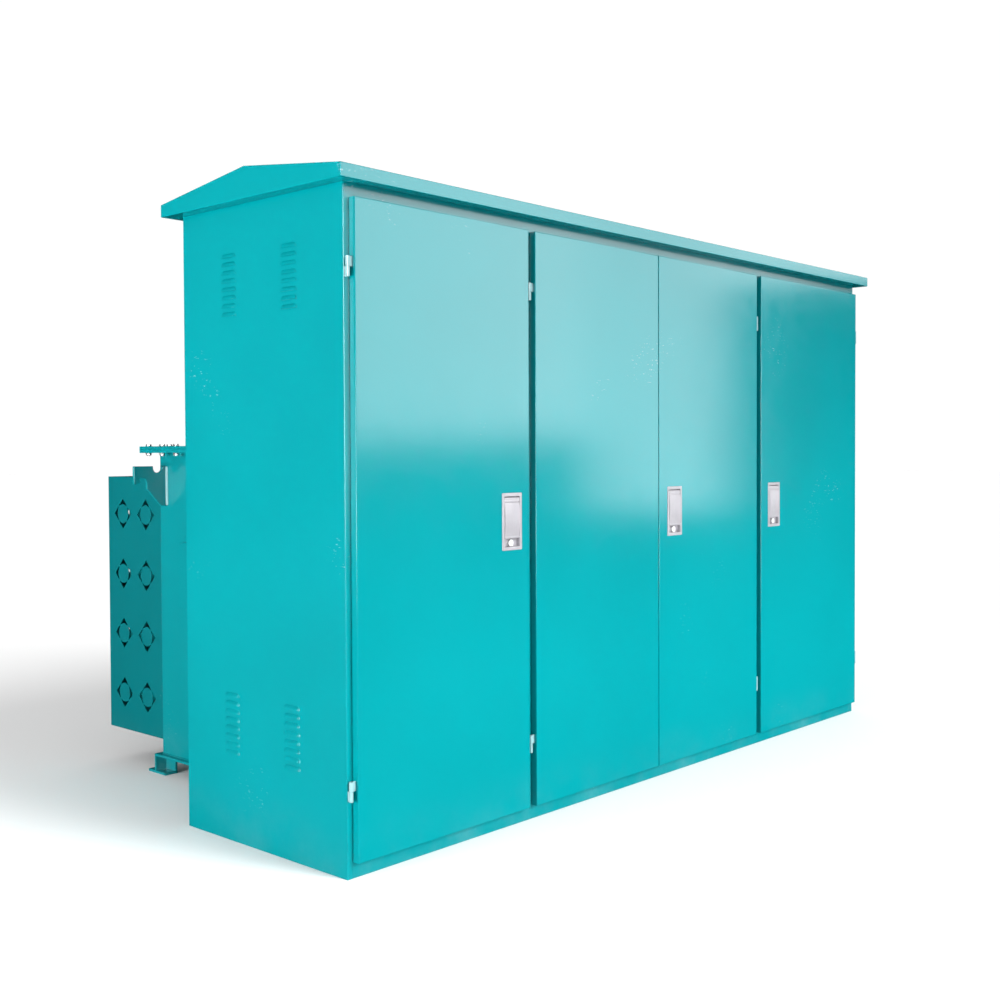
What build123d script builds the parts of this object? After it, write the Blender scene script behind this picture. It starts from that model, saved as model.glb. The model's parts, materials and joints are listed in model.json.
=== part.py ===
"""Pad-mounted transformer: a gabled switchgear cabinet with an oil tank and radiators behind it.

Everything is modelled in cabinet coordinates: X from the cabinet's left face, Y back from its
front face, Z up from the ground. save() then shifts each node so that the origin is the centre
of the whole unit's footprint, at ground level.
"""
import math
import os

from build123d import *

# ---- cabinet ---------------------------------------------------------------------------------
cabinet_depth = 800.0
cabinet_height = 2000.0
panel_thickness = 3.0
side_margin = 20.0
door_widths = {1: 752.0, 2: 702.0, 3: 702.0, 4: 852.0}
pillar_gap = 34.0
leaf_gap = 4.0
door_bottom = 48.0
door_top_gap = 42.0
door_overlap = 26.0
frame_return = 40.0
corner_return = 18.0
back_return = 40.0
seam = 0.3
base_flange = 50.0
base_thickness = 6.0
anchor_radius = 9.0
anchor_inset = 28.0
body_inside_roof = 30.0
past = 1.0  # how far a cutter runs past the face that it goes through

# ---- roof ------------------------------------------------------------------------------------
roof_overhang = 50.0
fascia_height = 40.0
gable_rise = 58.0
roof_sheet = 3.0
soffit_gap = 1.0

# ---- doors -----------------------------------------------------------------------------------
door_depth = 24.0
door_gap = 2.0
door_sheet = 2.0
door_lip = 40.0
door_edge_fillet = 1.5
stiffener_width = 80.0
stiffener_depth = 16.0
stiffener_end_gap = 60.0
seal_gap = 0.3
seal_width = 12.0
seal_inset = 4.0
handed_left = {1: True, 2: True, 3: False, 4: False}
handle_doors = (1, 3, 4)

# ---- hinges ----------------------------------------------------------------------------------
hinge_offset = 16.5
hinge_axis_depth = 13.5
barrel_radius = 6.25
pin_radius = 4.0
pin_clearance = 0.05
knuckle_height = 29.0
knuckle_gap = 0.5
knuckle_cap = 1.5
pin_short = 2.0
leaf_thickness = 3.0
hinge_from_top = 199.0
hinge_from_bottom = 209.0

# ---- handles and locks -----------------------------------------------------------------------
handle_width = 95.0
handle_height = 186.0
handle_bottom = 911.0
handle_inset = {1: 40.0, 3: 53.0, 4: 55.0}
bezel_flange = 9.0
bezel_proud = 2.0
bezel_wall = 2.0
pocket_depth = 12.0
flap_side_gap = 1.5
flap_thickness = 4.0
flap_drop = 147.0
flap_pivot_drop = 19.0
flap_pivot_radius = 3.0
flap_barrel_radius = 5.0
flap_bow = 3.0
flap_lip_height = 6.0
flap_lip_proud = 1.5
flap_setback = 1.0
flap_pivot_inset = 3.5
flap_pin_end_gap = 0.2
bezel_corner = 3.0
insert_radius = 11.0
insert_drop = 163.0
insert_shaft_radius = 4.0
insert_height = 9.0
keyway_width = 3.0
keyway_length = 12.0
keyway_depth = 5.0
running_clearance = 0.05
crank_thickness = 2.0
crank_lap = 0.9
crank_pin_radius = 2.5
bar_travel = 15.0
bar_width = 20.0
bar_thickness = 5.0
bar_offset = 15.0
bar_lip_gap = 0.2
bar_foot_gap = 4.0
guide_shares = (0.3, 0.72)
tab_half_height = 8.0
tab_end = 3.0
bar_end_gap = 40.0
slot_clearance = 0.6
hook_thickness = 5.0
hook_reach = 30.0
hook_height = 10.0
hook_tip = 8.0
hook_seat_gap = 0.5
keeper_pin_radius = 4.0
keeper_depth = 13.0
keeper_drop = 52.0
keeper_lift = 1.5
keeper_wall = 6.0
keeper_beside_bar = 12.0
keeper_half_depth = 8.0
guide_width = 32.0
guide_height = 24.0
guide_clearance = 0.5
bolt_radius = 6.0
bolt_length = 240.0
bolt_rest_gap = 2.0
bolt_depth = 17.0
bolt_edge = 30.0
bolt_hole_clearance = 1.5
bolt_guide_wall = 4.0
bolt_guide_height = 20.0
bolt_guide_shares = (0.35, 0.85)
bolt_knob_share = 0.6
bolt_knob_radius = 4.0
bolt_knob_length = 30.0

# ---- louvres ---------------------------------------------------------------------------------
louvre_length = 76.0
louvre_pitch = 26.0
louvre_rows = 8
louvre_spread = 150.0
louvre_proud = 8.0
louvre_rise = 13.0
louvre_sheet = 1.6
louvre_lip = 2.0
louvre_from_top = 158.0
louvre_low_row = 460.0

# ---- tank ------------------------------------------------------------------------------------
tank_width = 2470.0
tank_depth = 660.0
tank_wall = 8.0
tank_floor_top = 75.0
tank_floor_thickness = 10.0
tank_floor_lip = 23.0
rim_bottom = 1232.0
rim_thickness = 12.0
rim_overhang = 60.0
rim_overhang_back = 47.0
rim_inside = 55.0
gasket_thickness = 3.0
cover_thickness = 10.0
cover_bolt_pitch = 90.0
cover_bolt_radius = 6.0
cover_bolt_inset = 25.0
bolt_clearance = 1.0
bolt_head_height = 8.0
bolt_head_flats = 19.0
bolt_thread_past = 4.0

# ---- tank feet and lifting lugs --------------------------------------------------------------
foot_width = 55.0
foot_length = 114.0
foot_thickness = 10.0
foot_past_floor = 42.0
foot_hole_radius = 9.0
foot_hole_inset = 22.0
foot_hole_from_front = 30.0
front_foot_from_wall = 60.0
lug_thickness = 12.0
lug_from_back = 40.0
lug_reach = 140.0
lug_top = 1182.0
lug_weld_height = 151.0
lug_notch_radius = 19.0
lug_notch_from_wall = 40.0
lug_hook_drop = 67.0
lug_notch_drop = 6.0
lug_foot_width = 26.0
lug_throat = 86.0
lug_throat_drop = 62.0
lug_arch_drop = 44.0
lug_tip_width = 14.0
lug_bevel = 9.0
front_lug_extra = 60.0

# ---- radiators and their guard ---------------------------------------------------------------
guard_depth = 380.0
guard_bottom = 130.0
guard_height = 1008.0
guard_sheet = 3.0
guard_return = 25.0
guard_rows = 4
guard_columns = 2
guard_row_pitch = 238.0
guard_column_pitch = 165.0
guard_back_panels = 4
guard_panel_gap = 4.0
guard_side_room = 40.0
motif_tip = 60.0
motif_ring = 38.0
motif_wing_x = 26.0
motif_wing_z = 34.0
motif_wing_turn = 6.0
radiator_count = 4
radiator_panels = 11
radiator_panel_pitch = 48.0
radiator_panel_thickness = 11.0
radiator_panel_depth = 290.0
radiator_height = 860.0
radiator_gap = 45.0
header_radius = 38.0
header_inset = 70.0
stub_radius = 26.0
valve_radius = 62.0
valve_thickness = 30.0

# ---- plate on the tank's left wall -----------------------------------------------------------
plate_bracket_height = 242.0
plate_bracket_width = 280.0
plate_from_back = 139.0
plate_bottom = 650.0
plate_standoff = 14.0
plate_sheet = 4.0
plate_tab_height = 22.0
plate_tab_width = 30.0
plate_tab_inset = 24.0
rating_plate_margin = 20.0
rating_plate_sheet = 1.5

# ---- active part, bushings and fittings ------------------------------------------------------
limb_width = 190.0
limb_pitch = 620.0
core_depth = 240.0
core_bottom = 130.0
core_height = 980.0
bearer_half = 60.0
winding_radius = 285.0
winding_bore = 165.0
winding_end_gap = 20.0
hv_pitch = 300.0
hv_from_pillar = 250.0
controls_from_hv = 300.0
hv_height = 620.0
hv_length = 180.0
hv_radius = 46.0
hv_taper = 0.55
bushing_flange_radius = 68.0
bushing_flange_thickness = 14.0
lv_count = 4
lv_pitch = 100.0
lv_height = 900.0
lv_length = 60.0
lv_radius = 32.0
lv_flange_margin = 10.0
lv_stud_radius = 15.0
lv_stud_length = 60.0
busbar_width = 60.0
busbar_thickness = 10.0
busbar_rise = 60.0
busbar_lead = 50.0
busbar_lap = 20.0
busbar_side_room = 50.0
shank_inside = 30.0
shank_share = 0.6
fuse_height = 960.0
fuse_radius = 32.0
fuse_length = 150.0
fuse_flange_margin = 18.0
fuse_cap_length = 30.0
fuse_cap_share = 0.5
fitting_gap = 0.3
switch_height = 860.0
switch_radius = 55.0
switch_grip = 220.0
switch_boss_depth = 45.0
switch_grip_depth = 21.0
switch_grip_half = 14.0
switch_eye_radius = 8.0
switch_eye_inset = 20.0
tap_height = 560.0
tap_radius = 45.0
tap_depth = 30.0
tap_bar_depth = 25.0
tap_bar_half = 7.0
tap_bar_inset = 4.0
gauge_height = 1090.0
gauge_radius = 50.0
gauge_neck = 0.6
gauge_pitch = 150.0
gauge_count = 3
gauge_depth = 50.0
relief_offset = 190.0
relief_radius = 22.0
relief_depth = 60.0
relief_cap_radius = 14.0
relief_cap_depth = 15.0
drain_height = 170.0
drain_length = 130.0
drain_flange_radius = 45.0
drain_stub_radius = 24.0
drain_block_half = 34.0
drain_block_inset = 10.0
drain_block_back = 50.0
stem_radius = 14.0
stem_top = 60.0
stem_from_wall = 85.0
wheel_radius = 45.0
wheel_rim_radius = 6.0
wheel_hub_radius = 13.0
wheel_height = 16.0
spoke_half_width = 5.0
spoke_half_height = 4.0
breaker_width = 420.0
breaker_depth = 330.0
breaker_height = 440.0
breaker_bottom = 1330.0
toggle_swing_radius = 36.0
toggle_width = 40.0
toggle_hub_radius = 12.0
toggle_half_thickness = 6.0
toggle_slot_gap = 2.0
toggle_slot_half = 30.0
toggle_inset = 6.0
toggle_share = 0.6
breaker_step = 12.0
breaker_face_side = 30.0
breaker_face_end = 60.0
control_width = 620.0
control_height = 460.0
control_bottom = 1310.0
control_depth = 60.0
control_sheet = 3.0
control_side_room = 80.0
meter_depth = 70.0
relay_depth = 55.0
strip_depth = 35.0
strip_height = 50.0
case_gap = 30.0
strip_bottom = 60.0
meter_bottom = 200.0
relay_bottom = 260.0
meter_top_gap = 40.0
relay_top_gap = 60.0

# ---- worked out from the above ---------------------------------------------------------------
cabinet_width = 2 * side_margin + sum(door_widths.values()) + 2 * pillar_gap + leaf_gap
overall_depth = roof_overhang + cabinet_depth + tank_depth + guard_depth
door_left = {1: side_margin}
door_left[2] = door_left[1] + door_widths[1] + pillar_gap
door_left[3] = door_left[2] + door_widths[2] + leaf_gap
door_left[4] = door_left[3] + door_widths[3] + pillar_gap
door_right = {n: door_left[n] + door_widths[n] for n in door_widths}
door_top = cabinet_height - door_top_gap
door_height = door_top - door_bottom
door_face = -(door_gap + door_depth)
opening_bottom = door_bottom + door_overlap
opening_top = door_top - door_overlap
base_height = opening_bottom - panel_thickness - seam
louvre_top_row = cabinet_height - louvre_from_top
opening_spans = [
    (door_left[1] + door_overlap, door_right[1] - door_overlap),
    (door_left[2] + door_overlap, door_right[3] - door_overlap),
    (door_left[4] + door_overlap, door_right[4] - door_overlap),
]
pillar_centres = [door_right[1] + pillar_gap / 2, door_right[3] + pillar_gap / 2]
tank_left = (cabinet_width - tank_width) / 2
tank_right = tank_left + tank_width
tank_front = cabinet_depth
tank_back = tank_front + tank_depth
rim_top = rim_bottom + rim_thickness
cover_bottom = rim_top + gasket_thickness
cover_top = cover_bottom + cover_thickness
guard_back = tank_back + guard_depth
body_top = cabinet_height + body_inside_roof
crank_reach = math.hypot(bar_travel / 2, bar_travel / 2)
crank_hub_radius = crank_reach - crank_pin_radius - crank_thickness + crank_lap
shift = Pos(-cabinet_width / 2, roof_overhang - overall_depth / 2, 0)


def slab(x0, x1, y0, y1, z0, z1):
    """A box given by its lowest and highest coordinates."""
    centre = Pos((x0 + x1) / 2, (y0 + y1) / 2, (z0 + z1) / 2)
    return centre * Box(x1 - x0, y1 - y0, z1 - z0)


def rod_x(x0, x1, y, z, radius):
    """A round bar along X."""
    return Pos((x0 + x1) / 2, y, z) * Rot(0, 90, 0) * Cylinder(radius, x1 - x0)


def rod_y(x, y0, y1, z, radius):
    """A round bar along Y."""
    return Pos(x, (y0 + y1) / 2, z) * Rot(90, 0, 0) * Cylinder(radius, y1 - y0)


def rod_z(x, y, z0, z1, radius):
    """A round bar along Z."""
    return Pos(x, y, (z0 + z1) / 2) * Cylinder(radius, z1 - z0)


def prism_x(points, x0, x1):
    """A polygon of (y, z) points, extruded along X."""
    plane = Plane(origin=(x0, 0, 0), x_dir=(0, 1, 0), z_dir=(1, 0, 0))
    return extrude(plane * make_face(Polyline(*points, close=True)), x1 - x0)


def prism_y(points, y0, y1):
    """A polygon of (x, z) points, extruded along Y."""
    plane = Plane(origin=(0, y1, 0), x_dir=(1, 0, 0), z_dir=(0, -1, 0))
    return extrude(plane * make_face(Polyline(*points, close=True)), y1 - y0)


def ring_plate(outer, inner, z0, z1):
    """A flat frame between two (x0, x1, y0, y1) rectangles."""
    return slab(*outer, z0, z1) - slab(*inner, z0 - past, z1 + past)


def save(name, *solids):
    """Write one node, shifted to the origin of the whole unit."""
    placed = []
    for item in solids:
        placed.extend((shift * item).solids())
    export_step(Compound(children=placed) if len(placed) > 1 else placed[0], f"parts/{name}.step")


def one_solid(shape):
    """Fused material comes back as the single solid that it is."""
    found = shape.solids()
    if len(found) != 1:
        raise ValueError(f"expected one solid, found {len(found)}")
    return found[0]


# ---- base frame ------------------------------------------------------------------------------
def bolt_hole(z0, z1):
    """Hole that a shoot bolt of the passive leaf enters."""
    x = door_right[2] - bolt_edge
    return rod_z(x, bolt_depth, z0, z1, bolt_radius + bolt_hole_clearance)


def base_frame():
    """Channel ring on the ground inside the panels, with a cross member under each partition."""
    inset = panel_thickness + seam
    x0, x1 = inset, cabinet_width - inset
    y0, y1 = inset, cabinet_depth - inset
    wall = base_thickness
    web = ring_plate((x0, x1, y0, y1), (x0 + wall, x1 - wall, y0 + wall, y1 - wall), 0, base_height)
    hole = (x0 + base_flange, x1 - base_flange, y0 + base_flange, y1 - base_flange)
    frame = web + ring_plate((x0, x1, y0, y1), hole, 0, wall)
    frame += ring_plate((x0, x1, y0, y1), hole, base_height - wall, base_height)
    for x in pillar_centres:
        frame += slab(x - wall / 2, x + wall / 2, y0 + wall, y1 - wall, 0, base_height)
    holes = [
        rod_z(x, y, -past, wall + past, anchor_radius)
        for x in (anchor_inset, cabinet_width - anchor_inset)
        for y in (anchor_inset, cabinet_depth - anchor_inset)
    ]
    frame -= bolt_hole(base_height - wall - past, base_height + past)
    return one_solid(frame - holes)


# ---- front frame -----------------------------------------------------------------------------
def front_frame():
    """Front sheet with three doorways, each with a return folded back round it."""
    t = panel_thickness
    x0 = corner_return + seam
    frame = slab(x0, cabinet_width - x0, 0, t, 0, body_top)
    for left, right in opening_spans:
        outer = slab(left - t, right + t, t, frame_return, opening_bottom - t, opening_top + t)
        frame += outer
    for left, right in opening_spans:
        frame -= slab(left, right, -past, frame_return + past, opening_bottom, opening_top)
    frame -= bolt_hole(opening_top - past, opening_top + t + past)
    frame -= bolt_hole(opening_bottom - t - past, opening_bottom + past)
    return one_solid(frame)


# ---- side panels -----------------------------------------------------------------------------
def louvre(y, z, inner):
    """Pressed hood on the left face: the outer wedge, or the hollow below and behind it."""
    t = louvre_sheet if inner else 0.0
    top = z + louvre_rise - 2.0 * t
    face = -louvre_proud + t
    back = panel_thickness + past if inner else past / 2
    bottom = z - past if inner else z
    half = louvre_length / 2 - t
    profile = [(back, bottom), (face, bottom), (face, z + louvre_lip), (0, top), (back, top)]
    return prism_y(profile, y - half, y + half)


def side_panel():
    """Left side: a sheet with folded edges and two groups of pressed louvres."""
    t = panel_thickness
    panel = slab(0, t, 0, cabinet_depth, 0, body_top)
    panel += slab(t, corner_return, 0, t, 0, body_top)
    panel += slab(t, back_return, cabinet_depth - t, cabinet_depth, 0, body_top)
    places = []
    for top_row in (louvre_top_row, louvre_low_row):
        for row in range(louvre_rows):
            for side in (-1, 1):
                y = cabinet_depth / 2 + side * louvre_spread
                places.append((y, top_row - row * louvre_pitch))
    panel += [louvre(y, z, False) for y, z in places]
    panel -= [louvre(y, z, True) for y, z in places]
    return one_solid(panel)


def mirrored(shape):
    """The same piece on the other side of the cabinet's middle plane."""
    middle = Plane.YZ.offset(cabinet_width / 2)
    return mirror(shape, about=middle)


# ---- back panel and partitions ---------------------------------------------------------------
def back_panel():
    """Three sheets that close the cabinet's back round the tank."""
    t = panel_thickness
    y0, y1 = cabinet_depth - t, cabinet_depth
    x0, x1 = back_return + seam, cabinet_width - back_return - seam
    above = slab(x0, x1, y0, y1, cover_top + 2 * seam, body_top)
    left = slab(x0, tank_left - seam, y0, y1, 0, cover_top)
    right = slab(tank_right + seam, x1, y0, y1, 0, cover_top)
    return [above, left, right]


def partitions():
    """Sheet walls between the compartments, from the front pillars to the back."""
    t = panel_thickness
    y0, y1 = frame_return + seam, cabinet_depth - t - seam
    walls = []
    for x in pillar_centres:
        walls.append(slab(x - t / 2, x + t / 2, y0, y1, base_height, body_top))
    return walls


# ---- roof ------------------------------------------------------------------------------------
def gable(inset):
    """Gable outline of (y, z) points, moved in by a sheet's thickness."""
    y0 = -roof_overhang + inset
    y1 = cabinet_depth + roof_overhang - inset
    eave = cabinet_height + fascia_height - inset
    apex = cabinet_height + fascia_height + gable_rise - inset
    bottom = cabinet_height if inset == 0 else cabinet_height - past
    return [(y0, bottom), (y0, eave), (cabinet_depth / 2, apex), (y1, eave), (y1, bottom)]


def roof():
    """Welded gable roof with a fascia, a soffit lip and an inner ledge that rests on the walls."""
    x0, x1 = -roof_overhang, cabinet_width + roof_overhang
    s = roof_sheet
    shell = prism_x(gable(0), x0, x1) - prism_x(gable(s), x0 + s, x1 - s)
    y0, y1 = -roof_overhang, cabinet_depth + roof_overhang
    g = soffit_gap
    soffit_hole = (-g, cabinet_width + g, -g, cabinet_depth + g)
    shell += ring_plate((x0, x1, y0, y1), soffit_hole, cabinet_height, cabinet_height + s)
    edge = body_inside_roof
    ledge_hole = (edge, cabinet_width - edge, edge, cabinet_depth - edge)
    reach = fascia_height + gable_rise
    ledge = ring_plate((x0, x1, y0, y1), ledge_hole, body_top, body_top + s)
    inside = prism_x(gable(0), x0, x1) & slab(x0, x1, y0, y1, body_top, cabinet_height + reach)
    shell += ledge & inside
    for x in pillar_centres:
        rib = prism_x(gable(s / 2), x - s / 2, x + s / 2)
        shell += rib & slab(x - s, x + s, y0, y1, body_top, cabinet_height + reach)
    return one_solid(shell)


# ---- doors -----------------------------------------------------------------------------------
def handle_centre(n):
    """X of the middle of a door's handle."""
    reach = handle_inset[n] + handle_width / 2
    return door_right[n] - reach if handed_left[n] else door_left[n] + reach


def bar_side(n):
    """Direction from the lock to the latch bar: towards the door's free edge."""
    return 1 if handed_left[n] else -1


def bar_centre(n):
    """X of the middle of a door's latch bar."""
    return handle_centre(n) + bar_side(n) * (bar_offset + bar_width / 2)


bar_back = -door_gap - door_sheet - bar_lip_gap
bar_front = bar_back - bar_thickness
bar_bottom = door_bottom + bar_end_gap
bar_top = door_top - bar_end_gap
guide_heights = [door_bottom + share * door_height for share in guide_shares]


def door_pan(n):
    """Folded door: outer sheet, four returns and an inner lip."""
    x0, x1 = door_left[n], door_right[n]
    y0, y1 = door_face, -door_gap
    s = door_sheet
    pan = slab(x0, x1, y0, y1, door_bottom, door_top)
    pan = fillet(pan.faces().sort_by(Axis.Y)[0].edges(), door_edge_fillet)
    pan -= slab(x0 + s, x1 - s, y0 + s, y1 - s, door_bottom + s, door_top - s)
    window = (x0 + door_lip, x1 - door_lip, y1 - s - past, y1 + past)
    pan -= slab(*window, door_bottom + door_lip, door_top - door_lip)
    if n in handle_doors:
        x = handle_centre(n)
        half = handle_width / 2 - bezel_flange + fitting_gap
        z0 = handle_bottom + bezel_flange - fitting_gap
        z1 = handle_bottom + handle_height - bezel_flange + fitting_gap
        pan -= slab(x - half, x + half, y0 - past, y0 + s + past, z0, z1)
    return one_solid(pan)


def door_stiffener(n):
    """Top-hat channel welded down the middle of the door's inside."""
    x = (door_left[n] + door_right[n]) / 2
    half = stiffener_width / 2
    s = door_sheet
    y0 = door_face + s
    z0, z1 = door_bottom + stiffener_end_gap, door_top - stiffener_end_gap
    hat = slab(x - half, x + half, y0, y0 + stiffener_depth, z0, z1)
    hollow = slab(x - half + s, x + half - s, y0 - past, y0 + stiffener_depth - s, z0 - past, z1 + past)
    return one_solid(hat - hollow)


def bar_guides(n):
    """Two blocks inside the door that the latch bar slides through."""
    x = bar_centre(n)
    c = guide_clearance
    guides = []
    for z in guide_heights:
        block = slab(
            x - guide_width / 2, x + guide_width / 2, door_face + door_sheet, -door_gap,
            z - guide_height / 2, z + guide_height / 2,
        )
        channel = slab(
            x - bar_width / 2 - c, x + bar_width / 2 + c, bar_front - c, bar_back + c,
            z - guide_height, z + guide_height,
        )
        guides.append(one_solid(block - channel))
    return guides


def bolt_guides():
    """Guides on the passive leaf's lip, two for each shoot bolt."""
    x = door_right[2] - bolt_edge
    half = bolt_radius + bolt_guide_wall
    rise = bolt_guide_height / 2
    guides = []
    for end, sign in ((opening_top, -1), (opening_bottom, 1)):
        for share in bolt_guide_shares:
            z = end + sign * (bolt_rest_gap + share * bolt_length)
            block = slab(x - half, x + half, -door_gap, bolt_depth + half, z - rise, z + rise)
            bore = rod_z(x, bolt_depth, z - rise - past, z + rise + past, bolt_radius + running_clearance)
            guides.append(block - bore)
    return guides


def door(n):
    """A door leaf and what is welded to it."""
    solids = [door_pan(n), door_stiffener(n)]
    if n in handle_doors:
        solids += bar_guides(n)
    if n == 2:
        solids += bolt_guides()
    return solids


def door_seals():
    """Rubber strip on the frame's face round each doorway."""
    seals = []
    for left, right in opening_spans:
        a, b = seal_inset, seal_inset + seal_width
        y0, y1 = -door_gap + seal_gap, 0
        outer = slab(left - b, right + b, y0, y1, opening_bottom - b, opening_top + b)
        hole = slab(left - a, right + a, y0 - past, y1 + past, opening_bottom - a, opening_top + a)
        seals.append(one_solid(outer - hole))
    return seals


# ---- hinges ----------------------------------------------------------------------------------
def hinge_axis(n):
    """X of a door's hinge pins."""
    return door_left[n] - hinge_offset if handed_left[n] else door_right[n] + hinge_offset


hinge_heights = (
    door_bottom + hinge_from_bottom,
    door_top - hinge_from_top,
)


def hinge_frame_half(n, z):
    """Lower knuckle with its leaf on the frame and the pin fixed in it."""
    x, y = hinge_axis(n), -hinge_axis_depth
    half = leaf_thickness / 2
    knuckle = rod_z(x, y, z - knuckle_height, z, barrel_radius)
    leaf = slab(x - half, x + half, y, 0, z - knuckle_height, z)
    pin = rod_z(x, y, z - past, z + knuckle_height - pin_short, pin_radius)
    return one_solid(knuckle + leaf + pin)


def hinge_door_half(n, z):
    """Upper knuckle with a leaf to the door's edge, bored for the pin."""
    x, y = hinge_axis(n), -hinge_axis_depth
    edge = door_left[n] if handed_left[n] else door_right[n]
    half = leaf_thickness / 2
    z0, z1 = z + knuckle_gap, z + knuckle_gap + knuckle_height
    knuckle = rod_z(x, y, z0, z1, barrel_radius)
    leaf = slab(min(x, edge), max(x, edge), y - half, y + half, z0, z1)
    bore = rod_z(x, y, z0 - past, z1 - knuckle_cap, pin_radius + pin_clearance)
    return one_solid(knuckle + leaf - bore)


# ---- handles ---------------------------------------------------------------------------------
pocket_back = door_face + pocket_depth
pivot_height = handle_bottom + handle_height - flap_pivot_drop
pivot_depth = door_face + flap_pivot_inset
lock_height = handle_bottom + handle_height - insert_drop


def handle_bezel(n):
    """Die-cast tray that fills the cut-out: a flange on the door's face and a pocket behind."""
    x = handle_centre(n)
    half = handle_width / 2
    z0, z1 = handle_bottom, handle_bottom + handle_height
    f = bezel_flange
    w = bezel_wall
    tray = slab(x - half, x + half, door_face - bezel_proud, door_face, z0, z1)
    tray = fillet(tray.edges().filter_by(Axis.Y), bezel_corner)
    tray += slab(x - half + f, x + half - f, door_face - past / 2, pocket_back + w, z0 + f, z1 - f)
    inner = f + w
    pocket = (x - half + inner, x + half - inner, door_face - bezel_proud - past, pocket_back)
    tray -= slab(*pocket, z0 + inner, z1 - inner)
    tray -= rod_x(x - half + f - past, x + half - f + past, pivot_depth, pivot_height,
                  flap_pivot_radius + running_clearance)
    tray -= rod_y(x, pocket_back - past, pocket_back + w + past, lock_height,
                  insert_shaft_radius + running_clearance)
    return one_solid(tray)


def handle_flap(n):
    """Bowed pull flap with a pivot barrel at its top and a turned lip at its foot."""
    x = handle_centre(n)
    half = handle_width / 2 - bezel_flange - bezel_wall - flap_side_gap
    top = pivot_height
    foot = handle_bottom + handle_height - flap_drop
    y = door_face - flap_setback
    bow = flap_bow
    middle = (top + foot) / 2
    outer = ThreePointArc((y, foot), (y - bow, middle), (y, top))
    inner = ThreePointArc((y + flap_thickness, top), (y + flap_thickness - bow, middle),
                          (y + flap_thickness, foot))
    ends = [Line((y, top), (y + flap_thickness, top)), Line((y + flap_thickness, foot), (y, foot))]
    plane = Plane(origin=(x - half, 0, 0), x_dir=(0, 1, 0), z_dir=(1, 0, 0))
    profile = make_face(Curve() + [outer, ends[0], inner, ends[1]])
    flap = extrude(plane * profile, 2 * half)
    flap += rod_x(x - half, x + half, pivot_depth, pivot_height, flap_barrel_radius)
    flap += slab(x - half, x + half, y - flap_lip_proud, y + past, foot, foot + flap_lip_height)
    pin = half + flap_side_gap + bezel_wall - flap_pin_end_gap
    flap += rod_x(x - pin, x + pin, pivot_depth, pivot_height, flap_pivot_radius)
    return one_solid(flap)


def crank_pin_at(n):
    """Middle of the crank pin in the unlocked position."""
    reach = bar_travel / 2
    return handle_centre(n) + bar_side(n) * reach, lock_height + reach


def lock_insert(n):
    """Key insert in the pocket's foot, with its shaft and the crank that drives the latch bar."""
    x, z = handle_centre(n), lock_height
    front = pocket_back - insert_height
    head = rod_y(x, front, pocket_back - fitting_gap, z, insert_radius)
    keyway = slab(x - keyway_width / 2, x + keyway_width / 2, front - past, front + keyway_depth,
                  z - keyway_length / 2, z + keyway_length / 2)
    head -= keyway
    crank_front = pocket_back + bezel_wall + fitting_gap
    crank_back = crank_front + crank_thickness
    shaft = rod_y(x, pocket_back - 2 * past, crank_back, z, insert_shaft_radius)
    px, pz = crank_pin_at(n)
    hub = rod_y(x, crank_front, crank_back, z, crank_hub_radius)
    arm = rod_y(px, crank_front, crank_back, pz, crank_pin_radius + crank_thickness)
    pin = rod_y(px, crank_front, bar_back, pz, crank_pin_radius)
    return one_solid(head + shaft + hub + arm + pin)


def hook(n, pin_height):
    """Hook on the bar's back face that reaches over a keeper pin, shown lifted clear of it."""
    x = bar_centre(n)
    tip_bottom = pin_height + keeper_pin_radius + keeper_lift
    arm_bottom = pin_height + keeper_pin_radius + bar_travel + hook_seat_gap
    arm_top = arm_bottom + hook_height
    y0 = bar_back
    y1 = y0 + hook_reach
    profile = [
        (y0, arm_bottom), (y1 - hook_tip, arm_bottom), (y1 - hook_tip, tip_bottom),
        (y1, tip_bottom), (y1, arm_top), (y0, arm_top),
    ]
    return prism_x(profile, x - hook_thickness / 2, x + hook_thickness / 2)


def keeper_heights():
    """Heights of the two keeper pins in each doorway."""
    return opening_bottom + keeper_drop, opening_top - keeper_drop


def latch_bar(n):
    """Flat bar inside the door with a slotted tab for the crank, and a hook welded on near each end."""
    x = bar_centre(n)
    half = bar_width / 2
    bar = slab(x - half, x + half, bar_front, bar_back, bar_bottom + bar_travel + bar_foot_gap, bar_top)
    px, pz = crank_pin_at(n)
    side = bar_side(n)
    near = x - side * half
    far = px - side * (crank_pin_radius + tab_end)
    tab = slab(min(near, far), max(near, far), bar_front, bar_back,
               pz - tab_half_height, pz + tab_half_height)
    bar += tab
    slot_half = crank_pin_radius + slot_clearance
    reach = crank_reach - bar_travel / 2
    slot_end = px + side * (reach + slot_half)
    slot_start = px - side * slot_half
    bar -= slab(min(slot_start, slot_end), max(slot_start, slot_end), bar_front - past, bar_back + past,
                pz - slot_half, pz + slot_half)
    return [one_solid(bar)] + [hook(n, height) for height in keeper_heights()]


def latch_keepers():
    """Brackets on the doorways' returns, each with the pin that a hook drops behind."""
    solids = []
    low, high = keeper_heights()
    for n in handle_doors:
        x = bar_centre(n)
        for height, end in ((low, opening_bottom), (high, opening_top)):
            z0, z1 = min(height - keeper_wall, end), max(height + keeper_wall, end)
            near = x + keeper_beside_bar
            bracket = slab(near, near + keeper_wall, keeper_depth - keeper_half_depth,
                           keeper_depth + keeper_half_depth, z0, z1)
            bracket += rod_x(x - keeper_half_depth, near + past, keeper_depth, height, keeper_pin_radius)
            solids.append(one_solid(bracket))
    return solids


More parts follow.
